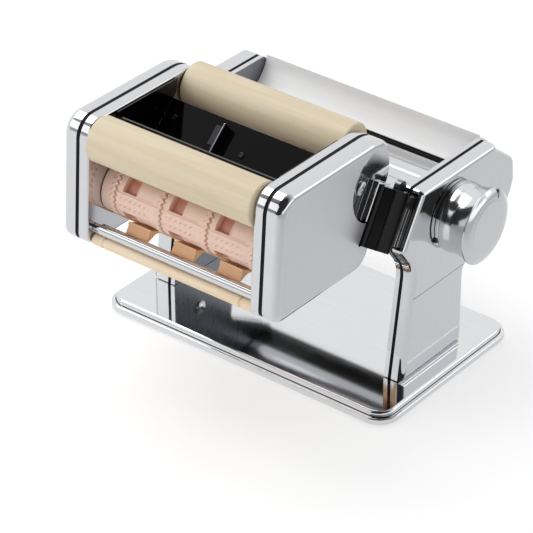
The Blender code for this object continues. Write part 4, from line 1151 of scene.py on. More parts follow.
@dataclass
class SmoothRollers(Assembly):
    """The two smooth rollers and the socket that takes the crank."""

    end_gap: float = 0.8
    journal: float = 4.5
    link_end: float = 3.3
    gear_width: float = 5.2
    edge: float = 0.5
    socket: float = 6.8
    socket_hex: float = 4.2
    socket_showing: float = 4.0

    def build(self) -> None:
        """Makes the rollers and the socket."""
        half, radius = MACHINE.inner_face - self.end_gap, MACHINE.roller_radius
        link_face = MACHINE.inner_face + MACHINE.plate + self.link_end
        gear_end = link_face + 2 * FIT + self.gear_width
        for word, centre, body in (
            ("front", MACHINE.front_roller, Body.FRONT_ROLLER),
            ("rear", MACHINE.rear_roller, Body.REAR_ROLLER),
        ):
            profile = [
                (-gear_end - FIT, self.journal), (-half, self.journal), (-half, radius - self.edge),
                (-half + self.edge, radius), (half - self.edge, radius), (half, radius - self.edge),
                (half, self.journal), (link_face - FIT, self.journal)]
            piece = lathe(f"{word}_ground_roller", profile, centre)
            self.add(piece, TURNED, Slot.STEEL, f"{word}_smooth_roller", body=body)
        start = gear_end + 2 * FIT
        end = MACHINE.cover_start + MACHINE.left_depth + self.socket_showing
        socket = crank_socket(
            "hex_crank_socket", -start, -end, MACHINE.rear_roller, self.socket, self.socket_hex)
        self.add(socket, TURNED, Slot.STEEL, "crank_socket", body=Body.REAR_ROLLER)


def crank_socket(
        name: str, start: float, end: float, centre: Flat, radius: float, across: float) -> Piece:
    """A round socket with a hexagonal hole in its outer end.

    Args:
        name: the piece's name.
        start: X of its inner end.
        end: X of its outer end.
        centre: its axis in the side view.
        radius: its own radius.
        across: the hexagon's corner radius.

    Returns:
        The piece.
    """
    way = math.copysign(1, end - start)
    profile = [(start, radius)] + [(end - way * back, radius - drop) for back, drop in SOCKET_EDGE]
    socket = lathe(name, profile, centre, SMALL_SIDES)
    ends = sorted((start + way * OVERRUN, end + way * OVERRUN))
    tool = Draft().skin([circle(x, across, centre, HEXAGON) for x in ends]).piece("cutter")
    return carve(socket, [tool])


@dataclass
class Knob(Assembly):
    """The thickness knob, the dial collar behind it and the shaft they turn on."""

    collar_radius: float = 20.4
    collar_thickness: float = 2.2
    collar_chamfer: float = 0.7
    collar_bore: float = 3.4
    hole_circle: float = 15.0
    hole_radius: float = 1.2
    track: float = 0.8
    turn: float = 120.0
    positions: int = 9
    length: float = 20.2
    back: float = 21.0
    waist: float = 20.4
    waist_at: float = 7.5
    rim: float = 23.0
    rim_at: float = 17.2
    face: float = 16.0
    bore: float = 10.0
    web: float = 2.4
    face_wall: float = 2.6
    shaft: float = 2.8
    pin: float = 0.6
    pin_reach: float = 1.6
    heel: tuple[Flat, ...] = ((0.0, -0.6), (0.2, -0.15), (0.7, 0.0))
    waist_start: Flat = (1.6, 0.1)
    waist_steps: int = 12
    flare_end: Flat = (0.6, 0.25)
    flare_power: float = 1.7
    flare_steps: int = 16
    lip: tuple[Flat, ...] = ((-0.3, -0.05), (0.0, 0.0), (0.35, -0.12), (0.55, -0.5))
    bevel_end: Flat = (0.35, 1.2)
    bevel_steps: int = 8
    crown: tuple[Flat, ...] = ((-0.32, 0.6), (-0.1, 0.1), (0.0, -0.5))
    middle_share: float = 0.6
    pointer_turn: float = 66.0
    pointer_half: Flat = (0.5, 1.9)
    pointer_end: float = 1.0
    pointer_depth: float = 0.2
    track_steps: int = 40
    peg_turn: float = 206.0
    peg_reach: float = 0.9
    peg_radius: float = 1.6
    peg_round: float = 1.4
    pull: float = 4.0
    head: float = 1.0
    spring_radius: float = 6.0
    wire: float = 0.5
    wire_ring: tuple[float, float, int] = (0, 315, 7)
    curls: int = 4
    curl_points: int = 24

    def build(self) -> None:
        """Makes the collar, the knob with its pointer, and the spring in it."""
        start = MACHINE.cover_start + MACHINE.right_depth + FIT
        self.collar(start, start + self.collar_thickness)
        self.knob(start + self.collar_thickness + FIT)
        self.spring(start + self.collar_thickness + FIT)

    def spring(self, start: float) -> None:
        """The knob's return spring at its pressed length, which leaves the knob room to pull.

        Args:
            start: X of the knob's back.
        """
        low = start + self.web + self.pull + self.wire + FIT
        high = start + self.length - self.face_wall - self.pull / 2 - self.head - self.wire - FIT
        count, rings = self.curls * self.curl_points, []
        for index in range(count + 1):
            x, turn = low + (high - low) * index / count, FULL_TURN * index / self.curl_points
            wire = arc((0, 0), self.wire, *self.wire_ring)
            rings.append(
                [(x + along, *polar(MACHINE.knob_axis, self.spring_radius + wide, turn))
                 for along, wide in wire])
        spring = Draft().skin(rings).piece("coiled_knob_spring")
        self.shop.dress(spring, TURNED, Body.CAM, Slot.STEEL, ["knob_spring"])

    def collar(self, start: float, end: float) -> None:
        """The dial ring, with a track for the knob's pin and a hole at each setting, and its peg.

        Args:
            start: X of its back.
            end: X of its front.
        """
        radius, curve, centre = self.collar_radius, self.collar_chamfer, MACHINE.knob_axis
        profile = [(start, self.collar_bore), (start, radius)]
        profile += [
            (end - curve + across, radius - curve + up)
            for up, across in arc((0, 0), curve, 0, 90, 5)]
        profile.append((end, self.collar_bore))
        collar = lathe("dial_ring", profile, centre, ROUND_SIDES, True)
        past = start - OVERRUN, end + OVERRUN
        margin = math.degrees(2 * self.track / self.hole_circle)
        first, last = -margin, self.turn + margin
        outer = arc(centre, self.hole_circle + self.track, first, last, self.track_steps)
        inner = arc(centre, self.hole_circle - self.track, last, first, self.track_steps)
        tools = [Draft().bar(*past, outer + inner).piece("cutter")]
        for index in range(self.positions):
            spot = polar(
                centre, self.hole_circle, math.radians(self.turn * index / (self.positions - 1)))
            tools.append(hole(past, spot, self.hole_radius, PIN_SIDES))
        carve(collar, tools)
        self.add(collar, CHROME, Slot.CHROME, "dial_collar")
        spot, curve = polar(
            centre, radius + self.peg_reach, math.radians(self.peg_turn)), self.peg_round
        dome = [(start, self.peg_radius)]
        dome += [
            (end - curve + across, self.peg_radius - curve + up)
            for up, across in arc((0, 0), curve, 0, 90, 5)]
        peg = lathe("dial_index_peg", dome, spot, BOLT_SIDES)
        self.add(peg, CHROME, Slot.CHROME)

    def profile(self, start: float) -> list[Flat]:
        """The knob's outside from its back to its face, with a waist, a flare and a wide bevel.

        Args:
            start: X of its back.

        Returns:
            Pairs of X and radius.
        """
        face, rim = start + self.length, start + self.rim_at
        outer = [(start + x, self.back + up) for x, up in self.heel]
        lead, drop = self.waist_start
        for index in range(self.waist_steps + 1):
            share = index / self.waist_steps
            swell = 0.5 - 0.5 * math.cos(math.pi * share)
            x = start + lead + (self.waist_at - lead) * share
            outer.append((x, self.back - drop - (self.back - self.waist) * swell))
        lead, drop = self.flare_end
        for index in range(1, self.flare_steps + 1):
            share = index / self.flare_steps
            x = start + self.waist_at + (self.rim_at - lead - self.waist_at) * share
            outer.append(
                (x, self.waist + (self.rim - drop - self.waist) * share ** self.flare_power))
        outer += [(rim + x, self.rim + up) for x, up in self.lip]
        first, last = outer[-1], (face - self.bevel_end[0], self.face + self.bevel_end[1])
        for index in range(1, self.bevel_steps + 1):
            share = index / self.bevel_steps
            x = first[0] + (last[0] - first[0]) * math.sin(share * math.pi / 2)
            outer.append((x, first[1] + (last[1] - first[1]) * share))
        outer += [(face + x, self.face + up) for x, up in self.crown]
        return outer + [(face, self.face * self.middle_share)]

    def knob(self, start: float) -> None:
        """The waisted knob with its wide bevel and shallow raised face, and the pin behind it.

        Args:
            start: X of its back.
        """
        web, bore = start + self.web, self.shaft + FIT
        inner = [
            (start + self.length - self.face_wall, self.bore), (web, self.bore), (web, bore),
            (start, bore)]
        knob = lathe("waisted_knob", inner + self.profile(start), MACHINE.knob_axis)
        centre = MACHINE.knob_axis[0] + self.hole_circle, MACHINE.knob_axis[1]
        pin = hole(
            (start - FIT - self.pin_reach, start + self.web / 2), centre, self.pin, PIN_SIDES)
        carve(knob, [pin], "UNION")
        carve(knob, [self.pointer(start + self.rim_at)])
        self.add(knob, SPUN, Slot.CHROME, "thickness_knob", body=Body.KNOB)

    def pointer(self, rim: float) -> Piece:
        """A wedge-shaped notch in the bevel that points at the setting.

        Args:
            rim: X of the knob's rim.

        Returns:
            The cutter.
        """
        out = Vector(polar((0, 0), 1, math.radians(self.pointer_turn)))
        across, (near, far) = Vector((-out.y, out.x)), self.pointer_half
        low, high = self.face + self.bevel_end[1], self.rim - self.pointer_end
        flat = ((low, -near), (low, near), (high, far), (high, -far))
        spots = [Vector(MACHINE.knob_axis) + out * reach + across * wide for reach, wide in flat]
        ends = rim + self.pointer_depth, rim + 2 * OVERRUN
        return Draft().bar(*ends, [(spot.x, spot.y) for spot in spots]).piece("cutter")


@dataclass
class Rails(Assembly):
    """The black rails on the heads' front edges and the attachment's hook blocks."""

    inset: float = 0.8
    width: float = 10.0
    depth: float = 12.8
    start_share: float = 0.10
    end_share: float = 0.90
    slot_width: float = 3.8
    slot_depth: float = 9.0
    rib: float = 0.9
    ribs: int = 3
    hook_depth: float = 12.0
    hook_nose: float = 0.5
    hook_low: float = -0.03
    hook_top: float = 0.94
    window_out: float = 25.7
    rounding: float = 0.35
    hook_rounding: float = 0.2
    hook_step: float = 0.4
    ridges: tuple[Flat, ...] = (
        (0.03, -0.2), (0.12, -0.2), (0.14, -0.6), (0.17, -0.6), (0.19, -0.2),
        (0.54, -0.2), (0.57, 0.2), (0.60, 0.2), (0.64, -0.6), (0.96, -0.6),
    )
    lug: Flat = (34.5, 4.2)
    lug_radius: float = 4.2
    lug_profile: tuple[Flat, ...] = ((-3.6, -0.5), (-3.1, 0.0), (-0.1, 0.0))
    highlight_strip_half: Flat = (0.4, 0.3)
    tongue: float = 8.0

    @property
    def length(self) -> float:
        """The head's front edge, from its foot to its top."""
        return math.dist(
            MACHINE.corners[RAIL_TOP_CORNER][:2], MACHINE.corners[RAIL_FOOT_CORNER][:2])

    @property
    def hook_out(self) -> float:
        """How far from the head the hook's back is."""
        return self.depth + 2 * FIT

    def build(self) -> None:
        """Makes both rails and both hooks."""
        for side in Side:
            self.rail(side)
            self.hook(side)

    def along_rail(self, name: str, profile: Sequence[Flat], ends: Flat) -> Piece:
        """A bar along the rail, from a profile of X and distance out from the head."""
        rings = [[(x, *MACHINE.on_rail(along, out)) for x, out in profile] for along in ends]
        return Draft().skin(rings).piece(name)

    def rail(self, side: Side) -> None:
        """One rail: a slotted bar with grooves down its outer side, chrome strips down two grooves
        as painted highlights, and a lug.

        Args:
            side: the end it is on.
        """
        low = MACHINE.inner_face + self.inset
        high, middle = low + self.width, low + self.width / 2
        lip, floor = self.slot_width / 2, self.depth - self.slot_depth
        profile = [
            (low, FIT), (low, self.depth), (middle - lip, self.depth), (middle - lip, floor),
            (middle + lip, floor), (middle + lip, self.depth), (high, self.depth)]
        pitch, half, deep = self.depth / (self.ribs + 1), self.rib / 2, high - self.rib
        for index in range(self.ribs, 0, -1):
            spot = index * pitch
            profile += [
                (high, spot + half), (deep, spot + half), (deep, spot - half), (high, spot - half)]
        profile.append((high, FIT))
        ends = self.start_share * self.length, self.end_share * self.length
        rail = self.along_rail(f"grooved_rail_{side.word}", mirrored(side, profile), ends)
        soften(rail, self.rounding)
        self.add(rail, ABS, Slot.BLACK, f"rail_{side.word}")
        section = [(low + x, self.lug_radius + up) for x, up in self.lug_profile]
        lug = lathe(
            f"rail_stop_{side.word}", mirrored(side, section), MACHINE.on_rail(*self.lug),
            SMALL_SIDES)
        self.add(lug, PLATE, Slot.STEEL)
        # Chrome strips down two of the grooves are painted highlights for the ribs' bright edges.
        (wide, narrow), top = self.highlight_strip_half, high - self.rib / 3
        for index in (self.ribs, self.ribs - 1):
            spot = index * pitch
            strip = [
                (deep, spot - wide), (deep, spot + wide), (top, spot + narrow),
                (top, spot - narrow)]
            wire = self.along_rail(f"rail_highlight_strip_{side.word}_{index}", mirrored(side, strip), ends)
            self.add(wire, CHROME, Slot.STEEL)

    def hook(self, side: Side) -> None:
        """One hook: a wedge with ridges down its slanting face, and a tongue in the rail's slot.

        Args:
            side: the end it is on.
        """
        low = Attachment.face_at() - Attachment.disc_floor + FIT
        high = MACHINE.inner_face + self.inset + self.width
        middle, half = high - self.width / 2, self.slot_width / 2 - 2 * FIT
        out, shoulder = self.hook_out, Attachment.face_at() + FIT
        nose, back = (high, out + self.hook_nose), (shoulder, out + self.hook_depth)
        profile = [(low, out), (low, back[1]), (shoulder - self.hook_step, back[1])]
        profile += [
            (back[0] + (nose[0] - back[0]) * share, back[1] + (nose[1] - back[1]) * share + lift)
            for share, lift in self.ridges]
        profile += [
            nose, (high, out), (middle + half, out), (middle + half, out - self.tongue),
            (middle - half, out - self.tongue), (middle - half, out)]
        ends = self.hook_low * self.length, self.hook_top * self.length
        hook = self.along_rail(f"hook_block_{side.word}", mirrored(side, profile), ends)
        soften(hook, self.hook_rounding)
        self.add(hook, ABS, Slot.BLACK, f"hook_{side.word}", body=Body.ATTACHMENT)


@dataclass
class Attachment(Assembly):
    """The attachment's ends, with their recesses, brackets and screws, and what joins them."""

    BODY = Body.ATTACHMENT
    inner_width: float = 111.0
    pan_depth: float = 6.7
    split: float = 1.0
    seam: float = 0.7
    cover_depth: float = 10.1
    edge: float = 4.5
    wall: float = 1.2
    pan_edge: float = 1.6
    rounding: float = 0.2
    front: float = -137.2
    bottom: float = 83.2
    top: float = 160.3
    corner_radii: tuple[float, ...] = (7.5, 13.0, 24.0, 12.0)
    rail_gap: float = 11.4
    disc_radius: float = 22.0
    disc: Flat = (33.6, 28.5)
    disc_floor: float = 3.4
    bracket_round: float = 0.42
    bracket_steps: int = 3
    screw: Flat = (29.5, 37.5)
    screw_radius: float = 4.2
    screw_head: float = 1.6
    screw_depth: float = 3.0
    shank: float = 1.8
    head_edge: float = 0.4
    head_tip: float = 0.3
    cross_turns: Flat = (20.0, 110.0)
    cross: Flat = (2.6, 0.45)
    cross_depth: float = 0.9
    socket: float = 6.8
    front_wood: Point = (-127.8, 148.1, 13.2)
    rear_wood: Point = (-45.7, 149.1, 12.9)
    dowel: Point = (-130.9, 86.3, 3.3)
    dowel_end: tuple[Flat, ...] = (
        (0.0, -0.5), (0.5, 0.0), (7.0, 0.0), (7.4, -0.7), (8.8, -0.7), (9.2, 0.0),
    )
    dowel_pin: float = 1.0
    rod: Point = (-130.2, 93.4, 3.3)
    rod_left: tuple[Flat, ...] = ((0.0, -1.1), (4.0, -1.1), (4.0, -0.3), (4.3, 0.0))
    rod_right: tuple[Flat, ...] = ((0.0, -0.3), (0.3, 0.0))
    tie: Point = (-70.0, 89.0, 3.0)
    tie_end: tuple[Flat, ...] = ((0.0, 0.0),)
    end_gap: float = 0.5
    journal_reach: float = 3.2
    pin_journal: float = 2.2
    wood_roll: float = 1.2
    flange_wall: float = 0.9
    highlight_band: float = 0.5

    @classmethod
    def face_at(cls) -> float:
        """Where a cover's flat face lies, along X."""
        return cls.inner_width / 2 + cls.pan_depth + cls.split + cls.cover_depth

    @property
    def rails(self) -> Rails:
        """The rails that the hooks ride on."""
        return Rails(self.shop)

    @property
    def corners(self) -> list[Point]:
        """The side view of an end, whose rear edge runs alongside the rails."""
        rise = MACHINE.rail_up.x / MACHINE.rail_up.y
        anchor = MACHINE.on_rail(0, self.rail_gap)
        low = anchor[0] + (self.bottom - anchor[1]) * rise
        high = anchor[0] + (self.top - anchor[1]) * rise
        places = (
            (self.front, self.bottom), (low, self.bottom), (high, self.top), (self.front, self.top))
        return [(*place, radius) for place, radius in zip(places, self.corner_radii)]

    def build(self) -> None:
        """Makes both ends and everything that runs between them."""
        for side in Side:
            self.pan(side)
            self.cover(side)
            self.bracket(side)
        self.rollers()
        self.rods()

    def pan(self, side: Side) -> None:
        """One inner pan, which carries the journals.

        Args:
            side: the end it is on.
        """
        start = self.inner_width / 2
        pan = shell(
            f"inner_pan_{side.word}", -side.value, self.corners,
            -start - self.pan_depth + self.seam, self.pan_depth - self.seam, self.wall,
            self.pan_edge)
        past = span(side, start - OVERRUN, start + self.wall + OVERRUN)
        seats = [
            (self.front_wood, self.pin_journal), (self.rear_wood, self.pin_journal),
            (self.dowel, self.dowel_pin), (self.rod, self.rod[2] / 2), (self.tie, self.tie[2] / 2),
            (Moulds.front(), Moulds.journal), (Moulds.rear(), Moulds.journal)]
        carve(pan, [hole(past, seat[:2], radius + FIT, BOLT_SIDES) for seat, radius in seats])
        self.add(pan, CHROME, Slot.STEEL, f"attachment_pan_{side.word}")

    def cover(self, side: Side) -> None:
        """One outer cover with its round recess and the window for the hook.

        Args:
            side: the end it is on.
        """
        start = self.inner_width / 2 + self.pan_depth + self.split
        cover = shell(
            f"end_cover_{side.word}", side.value, self.corners, start + self.seam,
            self.cover_depth - self.seam, self.wall, self.edge)
        face, rails, length = self.face_at(), self.rails, self.rails.length
        past = span(side, face - self.edge - OVERRUN, face + OVERRUN)
        low, high = rails.hook_low * length - RUNNING_GAP, rails.hook_top * length + RUNNING_GAP
        window = MACHINE.rail_box(low, high, 0, rails.window_out)
        tools = [
            hole(past, MACHINE.on_rail(*self.disc), self.disc_radius, ROUND_SIDES),
            Draft().bar(*past, window).piece("cutter")]
        if side is Side.LEFT:
            tools.append(hole(past, Moulds.front(), self.socket + RUNNING_GAP))
        carve(cover, tools)
        soften(cover, self.rounding)
        self.add(cover, CHROME, Slot.CHROME, f"attachment_cover_{side.word}")
        face_off(self.shop, cover, SATIN, side.value)
        # The black strip in the split is painted shade, standing for the shade deep in the split.
        fill = self.seam - TOUCHING
        split_shade = shade_strip(
            f"end_split_shade_{side.word}", self.corners, side.value, start - self.split - fill,
            start + fill)
        self.shop.dress(split_shade, RUBBER, Body.ATTACHMENT, Slot.BLACK)

    def bracket(self, side: Side) -> None:
        """The round plate in the recess, with its upturned flange, and its screw.

        Args:
            side: the end it is on.
        """
        face = self.face_at() - self.disc_floor
        low, high = span(side, face, face - self.wall)
        centre, spot = MACHINE.on_rail(*self.disc), MACHINE.on_rail(*self.screw)
        rings = [circle(x, self.disc_radius - FIT, centre) for x in (low, high)]
        plate = Draft().skin(rings).piece(f"recess_plate_{side.word}")
        past = low - OVERRUN, high + OVERRUN
        inside = Draft().bar(*past, rounded(self.corners, self.wall + FIT)).piece("cutter")
        carve(plate, [inside], "INTERSECT")
        carve(plate, [self.flange(side)], "UNION")
        carve(plate, [hole(past, spot, self.shank + FIT, BOLT_SIDES)])
        soften(plate, self.bracket_round, self.bracket_steps)
        self.add(plate, CHROME, Slot.CHROME, f"hook_bracket_{side.word}")
        # The flange's faces past the cover's face get the pale dull finish as a painted highlight
        # line.
        face_off(self.shop, plate, DULL, side.value, self.face_at() - self.highlight_band)
        self.fasten(side, face)

    def fasten(self, side: Side, face: float) -> None:
        """The bracket's domed cross-head screw.

        Args:
            side: the end it is on.
            face: how far from the middle the bracket's face is.
        """
        head, spot = face + FIT, MACHINE.on_rail(*self.screw)
        dome = [
            (face - self.screw_depth, self.shank), (head, self.shank), (head, self.screw_radius)]
        for up, out in arc((0, 0), 1, 0, 90):
            x = head + self.head_edge + (self.screw_head - self.head_edge) * out
            dome.append((x, max(self.screw_radius * up, self.head_tip)))
        screw = lathe(f"domed_screw_{side.word}", mirrored(side, dome), spot, SMALL_SIDES)
        ends = span(side, head + self.screw_head - self.cross_depth, head + 2 * OVERRUN)
        tools = []
        for turn in self.cross_turns:
            across = Vector(polar((0, 0), 1, math.radians(turn))) * self.cross[0]
            thick = Vector((-across.y, across.x)).normalized() * self.cross[1]
            box = [
                Vector(spot) + across * along + thick * wide
                for along, wide in ((-1, -1), (1, -1), (1, 1), (-1, 1))]
            tools.append(Draft().bar(*ends, [(point.x, point.y) for point in box]).piece("cutter"))
        carve(screw, tools)
        self.add(screw, TURNED, Slot.STEEL, f"bracket_screw_{side.word}")

    def flange(self, side: Side) -> Piece:
        """The bracket's upturned flange, along the hook and over its top.

        Args:
            side: the end it is on.

        Returns:
            The shape that joins the bracket.
        """
        rails, wide = self.rails, self.flange_wall
        near, far = rails.window_out, rails.window_out + wide
        low = self.disc[0] - math.sqrt(self.disc_radius ** 2 - (self.disc[1] - near) ** 2) + wide
        top = rails.hook_top * rails.length + RUNNING_GAP
        spots = (
            (low, near), (low, far), (top + wide, far), (top + wide, rails.hook_out),
            (top, rails.hook_out), (top, near))
        ends = span(side, self.face_at() - self.disc_floor - self.wall / 2, self.face_at())
        return Draft().bar(*ends, [MACHINE.on_rail(*spot) for spot in spots]).piece("cutter")

    def turned(
            self, name: str, place: Point, pin: float, left: Sequence[Flat], right: Sequence[Flat],
            sides: int = SMALL_SIDES) -> Piece:
        """A roller or rod between the two ends, on a pin at each end.

        Args:
            name: the piece's name.
            place: its axis in the side view, and its radius.
            pin: the radius of its pins.
            left: its left end, as distances in from there and rises over its radius.
            right: its right end in the same way.
            sides: points round it.

        Returns:
            The piece.
        """
        half, reach = self.inner_width / 2 - self.end_gap, self.inner_width / 2 + self.journal_reach
        near = [(-half + x, place[2] + up) for x, up in left]
        far = [(half - x, place[2] + up) for x, up in reversed(right)]
        profile = [(-reach, pin), (-half, pin), *near, *far, (half, pin), (reach, pin)]
        return lathe(name, profile, place[:2], sides)

    def rollers(self) -> None:
        """The two wide beech rollers and the thin dowel below."""
        curve = self.wood_roll
        end = [(curve - across, up - curve) for across, up in arc((0, 0), curve, 0, 90)]
        for name, place, body, node in (
            ("front_beech_roller", self.front_wood, Body.FRONT_FEED, "front_wood_roller"),
            ("rear_beech_roller", self.rear_wood, Body.REAR_FEED, "rear_wood_roller"),
        ):
            piece = self.turned(name, place, self.pin_journal, end, end, ROUND_SIDES)
            self.add(piece, BEECH, Slot.BEECH, node, body=body)
        dowel = self.turned(
            "turned_lower_dowel", self.dowel, self.dowel_pin, self.dowel_end, self.dowel_end)
        self.add(dowel, DOWEL_WOOD, Slot.BEECH, "lower_wood_dowel", body=Body.DOWEL)

    def rods(self) -> None:
        """The bright rod at the front and the tie bar at the back."""
        for name, place, left, right, node in (
            ("bright_front_rod", self.rod, self.rod_left, self.rod_right, "chrome_rod"),
            ("rear_tie", self.tie, self.tie_end, self.tie_end, "rear_tie_bar"),
        ):
            piece = self.turned(name, place, place[2] / 2, left, right)
            self.add(piece, CHROME, Slot.CHROME, node)


class Level(Enum):
    """Heights on a mould roller, from its axis."""

    RIDGE = 16.0
    LAND = 15.3
    POCKET = 10.8


@dataclass
class Moulds(Assembly):
    """The pair of moulded rollers, with pockets, crimped rings and sunk dashes.

    Pairs are half widths along and round a roller, or a place and a half width. A span is a
    middle, a half width and a soft edge, as shares of a cell's length.
    """

    BODY = Body.ATTACHMENT
    height: float = 112.3
    nip: float = -94.5
    reach: float = 16.2
    cells_long: int = 3
    cells_round: int = 4
    pitch: float = 31.5
    journal: float = 4.0
    half: float = 55.0
    journal_reach: float = 58.7
    gear_reach: float = 3.9
    teeth: int = 30
    wave: float = 1.5
    end_slack: float = 0.1
    ring: Flat = (1.3, 0.8)
    groove: Flat = (1.75, 0.7)
    groove_depth: float = 0.45
    # How much painted shade the crimped grooves get.
    groove_shade: float = 0.8
    pocket_share: float = 0.34
    pocket: Flat = (4.4, 5.4)
    pocket_soft: float = 0.5
    panel_at: float = 10.6
    panel: Flat = (5.2, 5.6)
    panel_soft: float = 0.3
    panel_depth: float = 0.35
    crest: Flat = (7.0, 0.8)
    crest_span: Point = (0.5, 0.42, 0.02)
    crest_height: float = 0.5
    dash_row: Flat = (9.6, 1.5)
    dash_pitch: float = 3.4
    dash_slant: float = 0.28
    dash_half: float = 0.24
    dash_span: Point = (0.48, 0.32, 0.04)
    dash_depth: float = 0.5
    # How much painted shade the sunk dashes get.
    dash_shade: float = 0.45
    along_points: int = 320
    round_points: int = 240

    @classmethod
    def front(cls) -> Flat:
        """The front mould roller's axis."""
        return cls.nip - cls.reach, cls.height

    @classmethod
    def rear(cls) -> Flat:
        """The rear mould roller's axis."""
        return cls.nip + cls.reach, cls.height

    def surface(self, x: float, angle: float) -> tuple[float, float, float]:
        """The roller's surface at one place.

        Args:
            x: along the roller, from its middle.
            angle: round it, in radians.

        Returns:
            The distance from its axis, how far into a pocket it is, which sets the painted pocket
            shade, and the painted shade of its grooves and dashes.
        """
        land = Level.LAND.value
        moulded = self.cells_long * self.pitch / 2
        value, groove = land, 0.0
        nearest = round((x + moulded) / self.pitch) * self.pitch - moulded
        if abs(nearest) <= moulded + self.end_slack:
            zigzag = abs((angle * self.teeth / math.pi) % 2 - 1) - 0.5
            offset = x - nearest - self.wave * zigzag
            value = max(value, land + (Level.RIDGE.value - land) * plateau(offset, *self.ring))
            groove = bell((offset - self.groove[0]) / self.groove[1])
            value -= self.groove_depth * groove
        groove_shade = groove * self.groove_shade
        if abs(x) >= moulded:
            return value, 0.0, groove_shade
        share = ((x + moulded) / self.pitch) % 1
        turn = (angle / (FULL_TURN / self.cells_round)) % 1
        across = (share - self.pocket_share) * self.pitch
        around = (turn - 0.5) * FULL_TURN * land / self.cells_round
        inside = min(
            plateau(across, self.pocket[0], self.pocket_soft),
            plateau(around, self.pocket[1], self.pocket_soft))
        value -= (land - Level.POCKET.value) * inside
        panel = min(
            plateau(across - self.panel_at, self.panel[0], self.panel_soft),
            plateau(around, self.panel[1], self.panel_soft))
        value -= self.panel_depth * panel
        middle, *edges = self.crest_span
        crest = bell(
            (abs(around) - self.crest[0]) / self.crest[1]) * plateau(share - middle, *edges)
        value += self.crest_height * crest
        far = abs(around) - self.dash_row[0]
        slant = self.dash_slant * far * math.copysign(1, around)
        lane = (share * self.pitch / self.dash_pitch + slant) % 1 - 0.5
        middle, *edges = self.dash_span
        dash = bell(lane / self.dash_half) * bell(
            abs(far) / self.dash_row[1]) * plateau(share - middle, *edges)
        value -= self.dash_depth * dash
        return value, inside, max(groove_shade, dash * self.dash_shade)

    def build(self) -> None:
        """Makes both rollers."""
        for name, centre, facing, body, node in (
            ("front_pocket_roller", self.front(), 1, Body.FRONT_MOULD, "front_mould_roller"),
            ("rear_pocket_roller", self.rear(), -1, Body.REAR_MOULD, "rear_mould_roller"),
        ):
            rings, layers = self.skin(centre, facing)
            piece = Draft().skin(rings).piece(name)
            # The two layers carry the painted shade of the pockets and of the grooves and dashes.
            for column, layer in enumerate((POCKET_SHADE_LAYER, GROOVE_SHADE_LAYER)):
                depth = piece.data.attributes.new(layer, "FLOAT", "POINT")
                depth.data.foreach_set("value", [pair[column] for pair in layers])
            self.shop.dress(piece, PEACH, body, Slot.PEACH, [node])

    def skin(self, centre: Flat, facing: int) -> tuple[list[Ring], list[Flat]]:
        """The rings of one roller, with the painted shade at each of their points.

        Args:
            centre: its axis in the side view.
            facing: one for the front roller, minus one for the rear one, its mirror image.

        Returns:
            The rings, and for each point its painted pocket shade and its painted groove and dash
            shade.
        """
        ends = [
            circle(x, self.journal, centre, self.round_points)
            for x in (-self.journal_reach - self.gear_reach, -self.half, self.half,
                      self.journal_reach)]
        plain: list[Flat] = [(0.0, 0.0)] * (2 * self.round_points)
        rings, layers = ends[:2], list(plain)
        for index in range(self.along_points + 1):
            x, ring = -self.half + 2 * self.half * index / self.along_points, []
            for step in range(self.round_points):
                angle = FULL_TURN * step / self.round_points
                radius, pocket_shade, groove = self.surface(x, angle)
                y, z = polar((0, 0), radius, angle)
                ring.append((x, centre[0] + facing * y, centre[1] + z))
                layers.append((pocket_shade, groove))
            rings.append(ring)
        return rings + ends[2:], layers + plain


def bell(value: float) -> float:
    """One at zero, falling smoothly to nothing at one either way."""
    return 0.0 if abs(value) >= 1 else 0.5 + 0.5 * math.cos(math.pi * value)


def plateau(value: float, half: float, soft: float) -> float:
    """One within half of zero, falling to nothing over soft.

    Args:
        value: the place.
        half: half the width of its top.
        soft: how wide its edge is.

    Returns:
        The share.
    """
    share = (half + soft / 2 - abs(value)) / soft
    share = min(max(share, 0.0), 1.0)
    return share * share * (3 - 2 * share)


